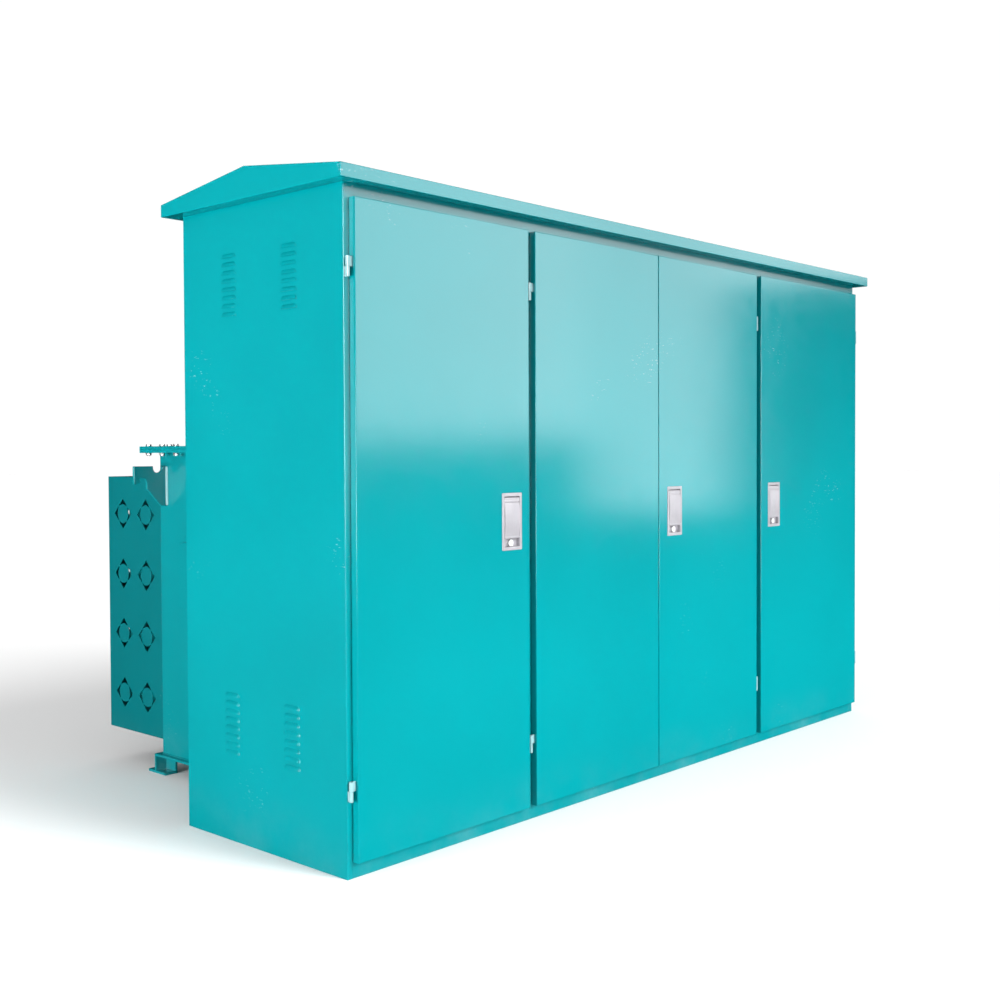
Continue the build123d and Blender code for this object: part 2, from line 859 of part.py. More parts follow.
def leaf_bolt(top):
    """Shoot bolt of the passive leaf, drawn back, with a finger knob."""
    x = door_right[2] - bolt_edge
    if top:
        z1 = opening_top - bolt_rest_gap
        z0 = z1 - bolt_length
        knob_z = z1 - bolt_knob_share * bolt_length
    else:
        z0 = opening_bottom + bolt_rest_gap
        z1 = z0 + bolt_length
        knob_z = z0 + bolt_knob_share * bolt_length
    bolt = rod_z(x, bolt_depth, z0, z1, bolt_radius)
    bolt += rod_y(x, bolt_depth, bolt_depth + bolt_knob_length, knob_z, bolt_knob_radius)
    return one_solid(bolt)


# ---- tank ------------------------------------------------------------------------------------
def cover_bolt_places():
    """Centres of the cover bolts, evenly spaced round the rim."""
    x0 = tank_left - rim_overhang + cover_bolt_inset
    x1 = tank_right + rim_overhang - cover_bolt_inset
    y0 = tank_front + tank_wall + rim_inside - cover_bolt_inset
    y1 = tank_back + rim_overhang_back - cover_bolt_inset
    columns = max(2, round((x1 - x0) / cover_bolt_pitch))
    rows = max(2, round((y1 - y0) / cover_bolt_pitch))
    places = []
    for i in range(columns + 1):
        x = x0 + (x1 - x0) * i / columns
        places += [(x, y0), (x, y1)]
    for j in range(1, rows):
        y = y0 + (y1 - y0) * j / rows
        places += [(x0, y), (x1, y)]
    return places


def rim_sheet(z0, z1, hollow):
    """A plate of the rim's outline, drilled for the cover bolts, whole or open in the middle."""
    x0, x1 = tank_left - rim_overhang, tank_right + rim_overhang
    y0, y1 = tank_front, tank_back + rim_overhang_back
    outline = Pos((x0 + x1) / 2, (y0 + y1) / 2) * Rectangle(x1 - x0, y1 - y0)
    if hollow:
        xi0, xi1 = tank_left + tank_wall, tank_right - tank_wall
        yi0, yi1 = tank_front + tank_wall + rim_inside, tank_back - tank_wall
        outline -= Pos((xi0 + xi1) / 2, (yi0 + yi1) / 2) * Rectangle(xi1 - xi0, yi1 - yi0)
    hole = Circle(cover_bolt_radius + bolt_clearance)
    outline -= [Pos(x, y) * hole for x, y in cover_bolt_places()]
    return Pos(0, 0, z0) * extrude(outline, z1 - z0)


def wall_holes():
    """Holes through the tank's front wall for everything that passes into the cabinet."""
    y0, y1 = tank_front - past, tank_front + tank_wall + past
    c = fitting_gap
    holes = [rod_y(x, y0, y1, hv_height, hv_radius * shank_share + c) for x in hv_places()]
    holes += [rod_y(x, y0, y1, lv_height, lv_stud_radius + c) for x in lv_places()]
    return holes


def tank_shell():
    """Four welded walls with the rim flange round their top."""
    t = tank_wall
    walls = slab(tank_left, tank_right, tank_front, tank_back, tank_floor_top, rim_bottom + past)
    walls -= slab(tank_left + t, tank_right - t, tank_front + t, tank_back - t,
                  tank_floor_top - past, rim_bottom + 2 * past)
    walls += rim_sheet(rim_bottom, rim_top, True)
    return one_solid(walls - wall_holes())


def tank_bottom():
    """Floor plate whose edge stands out past the walls."""
    lip = tank_floor_lip
    z0 = tank_floor_top - tank_floor_thickness
    return slab(tank_left - lip, tank_right + lip, tank_front, tank_back + lip, z0, tank_floor_top)


def cover_bolts():
    """Hexagon bolts and nuts that clamp the cover to the rim."""
    across = bolt_head_flats / math.cos(math.pi / 6) / 2
    head = RegularPolygon(across, 6)
    z0 = rim_bottom - bolt_head_height
    z1 = cover_top + bolt_head_height
    bolts = []
    for x, y in cover_bolt_places():
        bolt = rod_z(x, y, z0 - bolt_thread_past, z1, cover_bolt_radius)
        bolt += Pos(x, y, cover_top) * extrude(head, bolt_head_height)
        bolt += Pos(x, y, z0) * extrude(head, bolt_head_height)
        bolts.append(one_solid(bolt))
    return bolts


def foot(left, back):
    """Bent foot under the tank: a drilled flange on the ground, a web and a gusset."""
    t = foot_thickness
    floor = tank_floor_top - tank_floor_thickness
    x0 = tank_left - tank_floor_lip
    if back:
        y1 = tank_back + tank_floor_lip + foot_past_floor
        y0 = y1 - foot_length
        gusset_y = tank_back + tank_floor_lip - t
    else:
        y0 = tank_front + front_foot_from_wall
        y1 = y0 + foot_length
        gusset_y = y0 + foot_length / 2
    solid = slab(x0, x0 + foot_width, y0, y1, 0, t)
    solid += slab(x0 + foot_width - t, x0 + foot_width, y0, min(y1, tank_back + tank_floor_lip), 0, floor)
    solid += slab(x0, x0 + foot_width, gusset_y, gusset_y + t, 0, floor)
    solid -= rod_z(x0 + foot_hole_inset, y0 + foot_hole_from_front, -past, t + past, foot_hole_radius)
    solid = one_solid(solid)
    return solid if left else one_solid(mirrored(solid))


def lug(left, y):
    """Hook-shaped lifting plate welded to the tank's end wall."""
    wall = tank_left
    tip = wall - lug_reach
    notch = wall - lug_notch_from_wall
    top = lug_top
    bottom = top - lug_weld_height
    throat = wall - lug_throat
    beak = tip + lug_tip_width
    points = [
        (wall, bottom), (wall - lug_foot_width, bottom), (throat, top - lug_throat),
        (throat, top - lug_throat_drop), (throat - lug_bevel, top - lug_arch_drop),
        (beak + lug_bevel, top - lug_arch_drop), (beak + lug_bevel, top - lug_throat_drop),
        (beak, top - lug_hook_drop), (tip, top - lug_hook_drop), (tip, top), (wall, top),
    ]
    plate = prism_y(points, y - lug_thickness / 2, y + lug_thickness / 2)
    r = lug_notch_radius
    centre = top - lug_notch_drop
    plate -= rod_y(notch, y - lug_thickness, y + lug_thickness, centre, r)
    plate -= slab(notch - r, notch + r, y - lug_thickness, y + lug_thickness, centre, top + past)
    solid = one_solid(plate)
    return solid if left else one_solid(mirrored(solid))


lug_places = (tank_front + lug_from_back + front_lug_extra, tank_back - lug_from_back)


# ---- radiators and guard ---------------------------------------------------------------------
def motif():
    """Punched pattern: four arrow-shaped slots round a disc, pointing along the two axes."""
    a = math.acos(motif_wing_x / motif_ring) + math.radians(motif_wing_turn)
    near = (motif_ring * math.cos(a), motif_ring * math.sin(a))
    tip = (0, motif_tip)
    right = (motif_wing_x, motif_wing_z)
    arc = ThreePointArc(near, (0, motif_ring), (-near[0], near[1]))
    edges = Polyline(near, right, tip, (-right[0], right[1]), (-near[0], near[1]))
    slot = make_face(Curve() + [arc, edges])
    return [Rot(0, 0, 90 * i) * slot for i in range(4)]


def punched(width, height, columns, rows):
    """A flat outline with a centred grid of the punched pattern."""
    sheet = Rectangle(width, height)
    for i in range(columns):
        x = (i - (columns - 1) / 2) * guard_column_pitch
        for j in range(rows):
            z = (j - (rows - 1) / 2) * guard_row_pitch
            sheet -= [Pos(x, z) * slot for slot in motif()]
    return sheet


def guard_end():
    """End plate of the radiator guard, with its front edge folded along the tank."""
    depth = guard_depth - guard_sheet - seam
    face = punched(depth, guard_height, guard_columns, guard_rows)
    middle = Vector(tank_left, tank_back + depth / 2, guard_bottom + guard_height / 2)
    plane = Plane(origin=middle, x_dir=(0, 1, 0), z_dir=(1, 0, 0))
    plate = extrude(plane * face, guard_sheet)
    fold = slab(tank_left, tank_left + guard_return, tank_back + seam, tank_back + seam + guard_sheet,
                guard_bottom, guard_bottom + guard_height)
    return one_solid(plate + fold)


def guard_back_sheets():
    """Punched panels that close the guard's back."""
    width = tank_width / guard_back_panels - guard_panel_gap
    columns = int((width - guard_side_room) // guard_column_pitch)
    face = punched(width, guard_height, columns, guard_rows)
    sheets = []
    for i in range(guard_back_panels):
        x = tank_left + tank_width * (i + 0.5) / guard_back_panels
        middle = Vector(x, guard_back, guard_bottom + guard_height / 2)
        plane = Plane(origin=middle, x_dir=(1, 0, 0), z_dir=(0, -1, 0))
        sheets.append(one_solid(extrude(plane * face, guard_sheet)))
    return sheets


def radiator_middles():
    """X of each radiator's middle."""
    pitch = tank_width / radiator_count
    return [tank_left + pitch * (i + 0.5) for i in range(radiator_count)]


header_heights = (
    guard_bottom + (guard_height - radiator_height) / 2 + header_inset,
    guard_bottom + (guard_height + radiator_height) / 2 - header_inset,
)


def radiator(x):
    """Pressed steel panels threaded on two header pipes, each pipe with a stub back to the tank."""
    z0 = guard_bottom + (guard_height - radiator_height) / 2
    y0 = tank_back + radiator_gap
    span = (radiator_panels - 1) * radiator_panel_pitch
    half = radiator_panel_thickness / 2
    pipe_y = y0 + radiator_panel_depth / 3
    x0, x1 = x - span / 2 - half, x + span / 2 + half
    headers = []
    for z in header_heights:
        header = rod_x(x0, x1, pipe_y, z, header_radius)
        header += rod_y(x + radiator_panel_pitch / 2, tank_back + valve_thickness, pipe_y, z, stub_radius)
        headers.append(one_solid(header))
    panels = []
    for i in range(radiator_panels):
        px = x0 + half + i * radiator_panel_pitch
        panel = slab(px - half, px + half, y0, y0 + radiator_panel_depth, z0, z0 + radiator_height)
        for z in header_heights:
            panel -= rod_x(px - half - past, px + half + past, pipe_y, z, header_radius)
        panels.append(one_solid(panel))
    return headers + panels


def radiator_valves():
    """Flanged shut-off valves between the tank and the radiator stubs."""
    solids = []
    for x in radiator_middles():
        for z in header_heights:
            stub = x + radiator_panel_pitch / 2
            solids.append(rod_y(stub, tank_back, tank_back + valve_thickness, z, valve_radius))
    return solids


# ---- plate on the tank -----------------------------------------------------------------------
def plate_bracket():
    """Raised plate on folded tabs, welded to the tank's left wall."""
    x1 = tank_left - plate_standoff + plate_sheet
    x0 = x1 - plate_sheet
    y1 = tank_back - plate_from_back
    y0 = y1 - plate_bracket_width
    z0, z1 = plate_bottom, plate_bottom + plate_bracket_height
    plate = slab(x0, x1, y0, y1, z0, z1)
    for a in (y0 + plate_tab_inset, y1 - plate_tab_inset - plate_tab_width):
        b = a + plate_tab_width
        for end, sign in ((z0, -1), (z1, 1)):
            knee = end + sign * plate_sheet
            foot_end = knee + sign * plate_tab_height
            plate += slab(x0, tank_left, a, b, min(end, knee), max(end, knee))
            plate += slab(tank_left - plate_sheet, tank_left, a, b, min(knee, foot_end), max(knee, foot_end))
    return one_solid(plate)


def rating_plate():
    """Blank aluminium plate on the bracket."""
    x1 = tank_left - plate_standoff
    y1 = tank_back - plate_from_back - rating_plate_margin
    y0 = y1 - plate_bracket_width + 2 * rating_plate_margin
    z0 = plate_bottom + rating_plate_margin
    z1 = plate_bottom + plate_bracket_height - rating_plate_margin
    return slab(x1 - rating_plate_sheet, x1, y0, y1, z0, z1)


# ---- active part -----------------------------------------------------------------------------
def core():
    """Three-limb laminated core on two bearers."""
    middle_x = cabinet_width / 2
    middle_y = tank_front + tank_depth / 2
    half = limb_pitch + limb_width / 2
    y0, y1 = middle_y - core_depth / 2, middle_y + core_depth / 2
    z0, z1 = core_bottom, core_bottom + core_height
    body = slab(middle_x - half, middle_x + half, y0, y1, z0, z1)
    for side in (-1, 1):
        x = middle_x + side * limb_pitch / 2
        window = (limb_pitch - limb_width) / 2
        body -= slab(x - window, x + window, y0 - past, y1 + past, z0 + limb_width, z1 - limb_width)
    bearers = [
        slab(x - bearer_half, x + bearer_half, y0, y1, tank_floor_top, z0)
        for x in (middle_x - limb_pitch, middle_x + limb_pitch)
    ]
    return [one_solid(body)] + bearers


def windings():
    """One concentric winding on each limb."""
    z0 = core_bottom + limb_width + winding_end_gap
    z1 = core_bottom + core_height - limb_width - winding_end_gap
    y = tank_front + tank_depth / 2
    coils = []
    for i in (-1, 0, 1):
        x = cabinet_width / 2 + i * limb_pitch
        coil = rod_z(x, y, z0, z1, winding_radius) - rod_z(x, y, z0 - past, z1 + past, winding_bore)
        coils.append(one_solid(coil))
    return coils


# ---- fittings on the tank's front wall -------------------------------------------------------
def hv_places():
    """X of the three high-voltage bushings, left of the middle compartment's controls."""
    start = pillar_centres[0] + hv_from_pillar
    return [start + i * hv_pitch for i in range(3)]


def lv_places():
    """X of the low-voltage bushings, centred between the tank's corner and the partition."""
    middle = (max(tank_left, 0) + pillar_centres[0]) / 2
    return [middle + (i - (lv_count - 1) / 2) * lv_pitch for i in range(lv_count)]


def control_x():
    """X of the switch, tap changer and drain valve."""
    return hv_places()[-1] + controls_from_hv


def flange(x, z, radius):
    """Round flange against the wall's face."""
    return rod_y(x, tank_front - bushing_flange_thickness, tank_front, z, radius)


def hv_bushings():
    """Resin bushings with a tapered nose and a shank through the wall."""
    solids = []
    base = tank_front - bushing_flange_thickness
    cone = Rot(90, 0, 0) * Cone(hv_radius, hv_radius * hv_taper, hv_length)
    for x in hv_places():
        nose = Pos(x, base - hv_length / 2, hv_height) * cone
        body = flange(x, hv_height, bushing_flange_radius) + nose
        body += rod_y(x, base, tank_front + tank_wall + shank_inside, hv_height, hv_radius * shank_share)
        solids.append(one_solid(body))
    return solids


def lv_bushings():
    """Low-voltage bushings: a flange, a porcelain collar and a flat-ended stud."""
    solids = []
    for x in lv_places():
        face = tank_front - bushing_flange_thickness - lv_length
        inner = tank_front + tank_wall + shank_inside
        body = flange(x, lv_height, lv_radius + lv_flange_margin)
        body += rod_y(x, face, tank_front, lv_height, lv_radius)
        body += rod_y(x, face - lv_stud_length, inner, lv_height, lv_stud_radius)
        solids.append(one_solid(body))
    return solids


def fuse_holders():
    """Bayonet fuse holders above the high-voltage bushings."""
    solids = []
    for x in hv_places():
        body = flange(x, fuse_height, fuse_radius + fuse_flange_margin)
        face = tank_front - fuse_length
        body += rod_y(x, face, tank_front, fuse_height, fuse_radius)
        body += rod_y(x, face - fuse_cap_length, face, fuse_height, fuse_radius * fuse_cap_share)
        solids.append(one_solid(body))
    return solids


def tank_gauges():
    """Liquid level, temperature and pressure gauges, and the relief valve below them."""
    solids = []
    start = control_x() - gauge_pitch
    for i in range(gauge_count):
        x = start + i * gauge_pitch
        body = flange(x, gauge_height, gauge_radius * gauge_neck)
        body += rod_y(x, tank_front - gauge_depth, tank_front - bushing_flange_thickness, gauge_height,
                      gauge_radius)
        solids.append(one_solid(body))
    x = control_x() + relief_offset
    mouth = tank_front - relief_depth
    relief = rod_y(x, mouth, tank_front, tap_height, relief_radius)
    relief += rod_y(x, mouth - relief_cap_depth, mouth, tap_height, relief_cap_radius)
    solids.append(one_solid(relief))
    return solids


def loadbreak_handle():
    """Load-break switch: a boss on the wall side and a hook-stick handle across it."""
    x, z = control_x(), switch_height
    boss_front = tank_front - switch_boss_depth
    boss = rod_y(x, boss_front, tank_front - fitting_gap, z, switch_radius)
    y0, y1 = boss_front + past - switch_grip_depth, boss_front + past
    half = switch_grip / 2
    grip = slab(x - half, x + half, y0, y1, z - switch_grip_half, z + switch_grip_half)
    for side in (-1, 1):
        eye = x + side * (half - switch_eye_inset)
        grip -= rod_y(eye, y0 - past, y1 + past, z, switch_eye_radius)
    return one_solid(boss + grip)


def tap_changer_knob():
    """Tap changer: a round knob with a finger bar."""
    x, z = control_x(), tap_height
    face = tank_front - tap_depth
    knob = rod_y(x, face, tank_front - fitting_gap, z, tap_radius)
    half = tap_radius - tap_bar_inset
    knob += slab(x - half, x + half, face - tap_bar_depth, face + past, z - tap_bar_half, z + tap_bar_half)
    return one_solid(knob)


def drain_valve():
    """Drain valve body: a stub from the wall, a block and a capped outlet."""
    x, z = control_x(), drain_height
    mouth = tank_front - drain_length
    body = flange(x, z, drain_flange_radius) + rod_y(x, mouth, tank_front, z, drain_stub_radius)
    half = drain_block_half
    y0, y1 = mouth + drain_block_inset, tank_front - drain_block_back
    body += slab(x - half, x + half, y0, y1, z - half, z + half)
    body += rod_z(x, tank_front - stem_from_wall, z + half - past, z + stem_top, stem_radius)
    return one_solid(body)


def drain_wheel():
    """Handwheel of the drain valve: a rim, two spokes and a hub on the spindle."""
    x, y, z = control_x(), tank_front - stem_from_wall, drain_height + stem_top + fitting_gap
    middle = z + wheel_height / 2
    rim = Pos(x, y, middle) * Torus(wheel_radius, wheel_rim_radius)
    hub = rod_z(x, y, z, z + wheel_height, wheel_hub_radius)
    r, w = wheel_radius, spoke_half_width
    z0, z1 = middle - spoke_half_height, middle + spoke_half_height
    spokes = slab(x - r, x + r, y - w, y + w, z0, z1) + slab(x - w, x + w, y - r, y + r, z0, z1)
    return one_solid(rim + hub + spokes)


# ---- low-voltage and control equipment -------------------------------------------------------
def breaker_x():
    """X of the breaker's middle, over the low-voltage bushings."""
    return pillar_centres[0] / 2


def breaker_front():
    """Y of the breaker's front face."""
    return cabinet_depth - panel_thickness - breaker_depth


def toggle_middle():
    """Y and Z of the breaker toggle's pivot."""
    return breaker_front() + breaker_step / 2, breaker_bottom + breaker_height * toggle_share


def lv_breaker():
    """Moulded-case main breaker bolted to the back panel."""
    x = breaker_x()
    half = breaker_width / 2
    y0, y1 = breaker_front(), cabinet_depth - panel_thickness
    z0, z1 = breaker_bottom, breaker_bottom + breaker_height
    body = slab(x - half, x + half, y0 + breaker_step, y1, z0, z1)
    face = half - breaker_face_side
    foot, head = z0 + breaker_face_end, z1 - breaker_face_end
    body += slab(x - face, x + face, y0, y0 + breaker_step + past, foot, head)
    ty, tz = toggle_middle()
    slot = toggle_width / 2 + toggle_slot_gap
    deep = ty + toggle_hub_radius + 4 * toggle_slot_gap
    body -= slab(x - slot, x + slot, y0 - past, deep, tz - toggle_slot_half, tz + toggle_slot_half)
    return one_solid(body)


def breaker_toggle():
    """Rocker handle of the breaker."""
    x = breaker_x()
    ty, tz = toggle_middle()
    half = toggle_width / 2
    toggle = rod_x(x - half, x + half, ty, tz, toggle_hub_radius)
    grip = half - toggle_inset
    t = toggle_half_thickness
    toggle += slab(x - grip, x + grip, ty - toggle_swing_radius, ty, tz - t, tz + t)
    return one_solid(toggle)


def busbars():
    """Copper bars from the bushing studs up to the breaker's terminals."""
    y1 = tank_front - bushing_flange_thickness - lv_length
    y0 = y1 - busbar_thickness
    bars = []
    span = breaker_width - 2 * busbar_side_room
    for i, x in enumerate(lv_places()):
        half = busbar_width / 2
        bar = slab(x - half, x + half, y0, y1, lv_height - half, lv_height + half + busbar_rise)
        target = breaker_x() + (i / (lv_count - 1) - 0.5) * span
        z0 = lv_height + half + busbar_rise - busbar_lap
        z1 = breaker_bottom - busbar_lead
        points = [
            (x - half, z0), (x + half, z0), (target + half, z1), (target + half, breaker_bottom),
            (target - half, breaker_bottom), (target - half, z1),
        ]
        bar += prism_y(points, y0, y1)
        bar -= rod_y(x, y0 - past, y1 + past, lv_height, lv_stud_radius + fitting_gap)
        bars.append(one_solid(bar))
    return bars


def control_panel():
    """Instrument plate with a meter case, a relay case and a terminal strip."""
    x = (pillar_centres[1] + cabinet_width) / 2
    half = min(control_width, door_widths[4] - 2 * control_side_room) / 2
    y1 = cabinet_depth - panel_thickness
    y0 = y1 - control_depth
    z0, z1 = control_bottom, control_bottom + control_height
    tray = slab(x - half, x + half, y0, y1, z0, z1)
    s = control_sheet
    tray -= slab(x - half + s, x + half - s, y0 + s, y1 + past, z0 + s, z1 - s)
    left, right = x - half + case_gap, x + half - 2 * case_gap
    split = x - half + 2 * half / 3
    meter = slab(left, split, y0 - meter_depth, y0, z0 + meter_bottom, z1 - meter_top_gap)
    relay = slab(split + case_gap, right, y0 - relay_depth, y0, z0 + relay_bottom, z1 - relay_top_gap)
    foot = z0 + strip_bottom
    strip = slab(left + case_gap, right, y0 - strip_depth, y0, foot, foot + strip_height)
    return [one_solid(tray), meter, relay, strip]


def main():
    """Build every node and write it."""
    os.makedirs("parts", exist_ok=True)
    save("base_frame", base_frame())
    save("front_frame", front_frame())
    left_side = side_panel()
    save("left_side_panel", left_side)
    save("right_side_panel", one_solid(mirrored(left_side)))
    save("back_panel", *back_panel())
    save("partitions", *partitions())
    save("roof", roof())
    save("door_seals", *door_seals())
    save("hinge_frame_halves", *[hinge_frame_half(n, z) for n in door_widths for z in hinge_heights])
    for n in door_widths:
        save(f"door_{n}", *door(n))
        save(f"door_{n}_hinge_halves", *[hinge_door_half(n, z) for z in hinge_heights])
    for n in handle_doors:
        save(f"door_{n}_handle_bezel", handle_bezel(n))
        save(f"door_{n}_handle_flap", handle_flap(n))
        save(f"door_{n}_lock_insert", lock_insert(n))
        save(f"door_{n}_latch_bar", *latch_bar(n))
    save("latch_keepers", *latch_keepers())
    save("leaf_bolt_top", leaf_bolt(True))
    save("leaf_bolt_bottom", leaf_bolt(False))
    save("tank_shell", tank_shell())
    save("tank_bottom", tank_bottom())
    save("cover_gasket", one_solid(rim_sheet(rim_top, cover_bottom, True)))
    save("tank_cover", one_solid(rim_sheet(cover_bottom, cover_top, False)))
    save("cover_bolts", *cover_bolts())
    save("tank_feet", *[foot(left, back) for left in (True, False) for back in (True, False)])
    save("lifting_lugs", *[lug(left, y) for left in (True, False) for y in lug_places])
    save("radiators", *[solid for x in radiator_middles() for solid in radiator(x)])
    save("radiator_valves", *radiator_valves())
    left_guard = guard_end()
    save("guard_left", left_guard)
    save("guard_right", one_solid(mirrored(left_guard)))
    save("guard_back", *guard_back_sheets())
    save("nameplate_bracket", plate_bracket())
    save("rating_plate", rating_plate())
    save("core", *core())
    save("windings", *windings())
    save("hv_bushings", *hv_bushings())
    save("lv_bushings", *lv_bushings())
    save("fuse_holders", *fuse_holders())
    save("tank_gauges", *tank_gauges())
    save("loadbreak_handle", loadbreak_handle())
    save("tap_changer_knob", tap_changer_knob())
    save("drain_valve", drain_valve())
    save("drain_valve_wheel", drain_wheel())
    save("lv_breaker", lv_breaker())
    save("breaker_toggle", breaker_toggle())
    save("lv_busbars", *busbars())
    save("control_panel", *control_panel())


main()
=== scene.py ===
import json
import math

import bmesh
import bpy
from mathutils import Matrix, Vector

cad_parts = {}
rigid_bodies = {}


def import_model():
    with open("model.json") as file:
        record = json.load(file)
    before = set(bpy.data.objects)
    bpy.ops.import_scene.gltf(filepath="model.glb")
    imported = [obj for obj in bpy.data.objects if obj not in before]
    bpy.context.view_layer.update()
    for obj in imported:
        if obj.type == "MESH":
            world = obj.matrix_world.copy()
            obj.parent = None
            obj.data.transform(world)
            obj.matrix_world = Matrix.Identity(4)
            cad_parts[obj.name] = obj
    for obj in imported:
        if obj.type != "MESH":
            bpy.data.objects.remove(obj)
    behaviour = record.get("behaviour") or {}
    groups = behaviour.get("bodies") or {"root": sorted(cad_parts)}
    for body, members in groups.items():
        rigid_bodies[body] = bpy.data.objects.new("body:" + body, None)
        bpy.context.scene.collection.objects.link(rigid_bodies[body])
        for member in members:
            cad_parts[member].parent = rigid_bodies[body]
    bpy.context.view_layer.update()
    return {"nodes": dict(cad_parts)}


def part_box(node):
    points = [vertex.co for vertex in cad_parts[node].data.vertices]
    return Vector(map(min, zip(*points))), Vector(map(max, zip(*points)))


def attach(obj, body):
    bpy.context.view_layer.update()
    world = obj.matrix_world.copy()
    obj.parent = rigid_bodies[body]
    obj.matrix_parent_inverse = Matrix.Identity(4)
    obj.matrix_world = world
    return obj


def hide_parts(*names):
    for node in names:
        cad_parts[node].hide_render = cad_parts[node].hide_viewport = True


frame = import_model()
scene = bpy.context.scene

# ---- Side panels ----
# Each end of the cabinet is one 3 mm steel sheet from the ground to the roof, folded round at the
# front and the back. Two groups of sixteen hooded louvres are pressed out of it, and the whole
# sheet is powder coated in semi-gloss turquoise.


def feed(tree, made, inputs):
    """Sets a node's inputs: each (socket, value) is a link if the value is a socket."""
    for socket, value in inputs:
        if isinstance(value, bpy.types.NodeSocket):
            tree.links.new(value, made.inputs[socket])
        else:
            made.inputs[socket].default_value = value


def shader_node(tree, kind, inputs=(), **settings):
    """A node with its settings and its inputs."""
    made = tree.nodes.new(kind)
    for key, value in settings.items():
        setattr(made, key, value)
    feed(tree, made, inputs)
    return made


def blotches(tree, place, scale, detail=2.0, rough=0.5):
    """Cloudy grey noise over the surface."""
    inputs = [("Vector", place), ("Scale", scale), ("Detail", detail), ("Roughness", rough)]
    return shader_node(tree, "ShaderNodeTexNoise", inputs).outputs[0]


def spread(tree, value, low, high, to_low=0.0, to_high=1.0):
    """A value moved from one range to another, smooth at both ends."""
    inputs = [(0, value), (1, low), (2, high), (3, to_low), (4, to_high)]
    return shader_node(tree, "ShaderNodeMapRange", inputs, interpolation_type="SMOOTHSTEP").outputs[0]


def both(tree, first, second):
    """Where two masks are both on."""
    return shader_node(tree, "ShaderNodeMath", [(0, first), (1, second)], operation="MULTIPLY").outputs[0]


def shades(tree, value, dark, light):
    """A colour between two, by a value."""
    inputs = [(0, value), (6, (*dark, 1)), (7, (*light, 1))]
    return shader_node(tree, "ShaderNodeMix", inputs, data_type="RGBA").outputs[2]


def cover_with(tree, mask, under, colour):
    """A colour laid over another where a mask is on."""
    inputs = [(0, mask), (6, under), (7, (*colour, 1))]
    return shader_node(tree, "ShaderNodeMix", inputs, data_type="RGBA").outputs[2]


def relief(tree, height, depth, normal=None):
    """Bump of a depth in metres, over another bump."""
    inputs = [("Height", height), ("Distance", depth), ("Strength", 1.0)]
    if normal is not None:
        inputs.append(("Normal", normal))
    return shader_node(tree, "ShaderNodeBump", inputs).outputs[0]


def new_finish(name):
    """A material, its node tree, its shader and the place on the piece in metres."""
    finish = bpy.data.materials.new(name)
    finish.use_nodes = True
    tree = finish.node_tree
    place = shader_node(tree, "ShaderNodeTexCoord").outputs["Object"]
    return finish, tree, tree.nodes["Principled BSDF"], place


def tinted(colour, factor):
    """A colour made lighter or darker."""
    return tuple(min(1.0, part * factor) for part in colour)


coat_colour = (0.0, 0.205, 0.229)
scuff_colour = (0.40, 0.52, 0.53)
dust_colour = (0.20, 0.34, 0.34)


def powder_coat(name, colour, gloss=0.17, scuffs=0.0, dust=0.0, buckle=0.0):
    """Semi-gloss powder coat: orange peel, faint cloudiness, dust low down, and small pale scuffs."""
    finish, tree, shader, place = new_finish(name)
    cloud = blotches(tree, place, 1.3, 3.0)
    base = shades(tree, spread(tree, cloud, 0.3, 0.7), tinted(colour, 0.955), tinted(colour, 1.035))
    speck = blotches(tree, place, 260.0, 1.0)
    base = cover_with(tree, spread(tree, speck, 0.72, 0.80, 0.0, 0.15), base, tinted(colour, 1.25))
    if dust > 0:
        height = shader_node(tree, "ShaderNodeSeparateXYZ", [(0, place)]).outputs["Z"]
        low_down = spread(tree, height, 0.0, 0.22, dust, 0.0)
        settled = both(tree, low_down, spread(tree, blotches(tree, place, 5.0, 6.0, 0.6), 0.35, 0.85))
        base = cover_with(tree, settled, base, dust_colour)
    if scuffs > 0:
        where = spread(tree, blotches(tree, place, 2.6, 1.0), 0.66, 0.74)
        drawn_out = shader_node(tree, "ShaderNodeMapping", [(0, place), (3, (60.0, 60.0, 170.0))]).outputs[0]
        marks = spread(tree, blotches(tree, drawn_out, 1.0, 5.0, 0.6), 0.63, 0.68, 0.0, scuffs)
        base = cover_with(tree, both(tree, where, marks), base, scuff_colour)
    wear = blotches(tree, place, 17.0, 5.0, 0.6)
    rough = spread(tree, wear, 0.3, 0.75, gloss - 0.012, gloss + 0.02)
    normal = relief(tree, blotches(tree, place, 330.0, 2.0), 0.00005)
    normal = relief(tree, blotches(tree, place, 90.0, 1.0), 0.00006, normal)
    if buckle > 0:
        normal = relief(tree, blotches(tree, place, 1.7, 0.0), buckle, normal)
    feed(tree, shader, [("Base Color", base), ("Roughness", rough), ("Normal", normal), ("IOR", 1.5)])
    return finish


def start(kind, name, **shape):
    """One of Blender's primitives, alone in the selection."""
    bpy.ops.object.select_all(action="DESELECT")
    getattr(bpy.ops.mesh, f"primitive_{kind}_add")(**shape)
    made = bpy.context.object
    made.name = name
    return made


def alone(piece):
    """The piece active and alone in the selection."""
    bpy.ops.object.select_all(action="DESELECT")
    piece.select_set(True)
    bpy.context.view_layer.objects.active = piece


def whole():
    """Selects all of the mesh in edit mode."""
    bpy.ops.mesh.select_all(action="SELECT")


def work_on(piece):
    """The piece alone in edit mode, with all of it selected."""
    alone(piece)
    bpy.ops.object.mode_set(mode="EDIT")
    whole()


def shift(by):
    """Moves what is selected in edit mode."""
    bpy.ops.transform.translate(value=by)


def rotate(by, axis, about=(0, 0, 0)):
    """Turns what is selected in edit mode round an axis through a point."""
    bpy.ops.transform.rotate(value=by, orient_axis=axis, center_override=about)


def resize(by, about=(0, 0, 0)):
    """Scales what is selected in edit mode about a point."""
    bpy.ops.transform.resize(value=by, center_override=about)


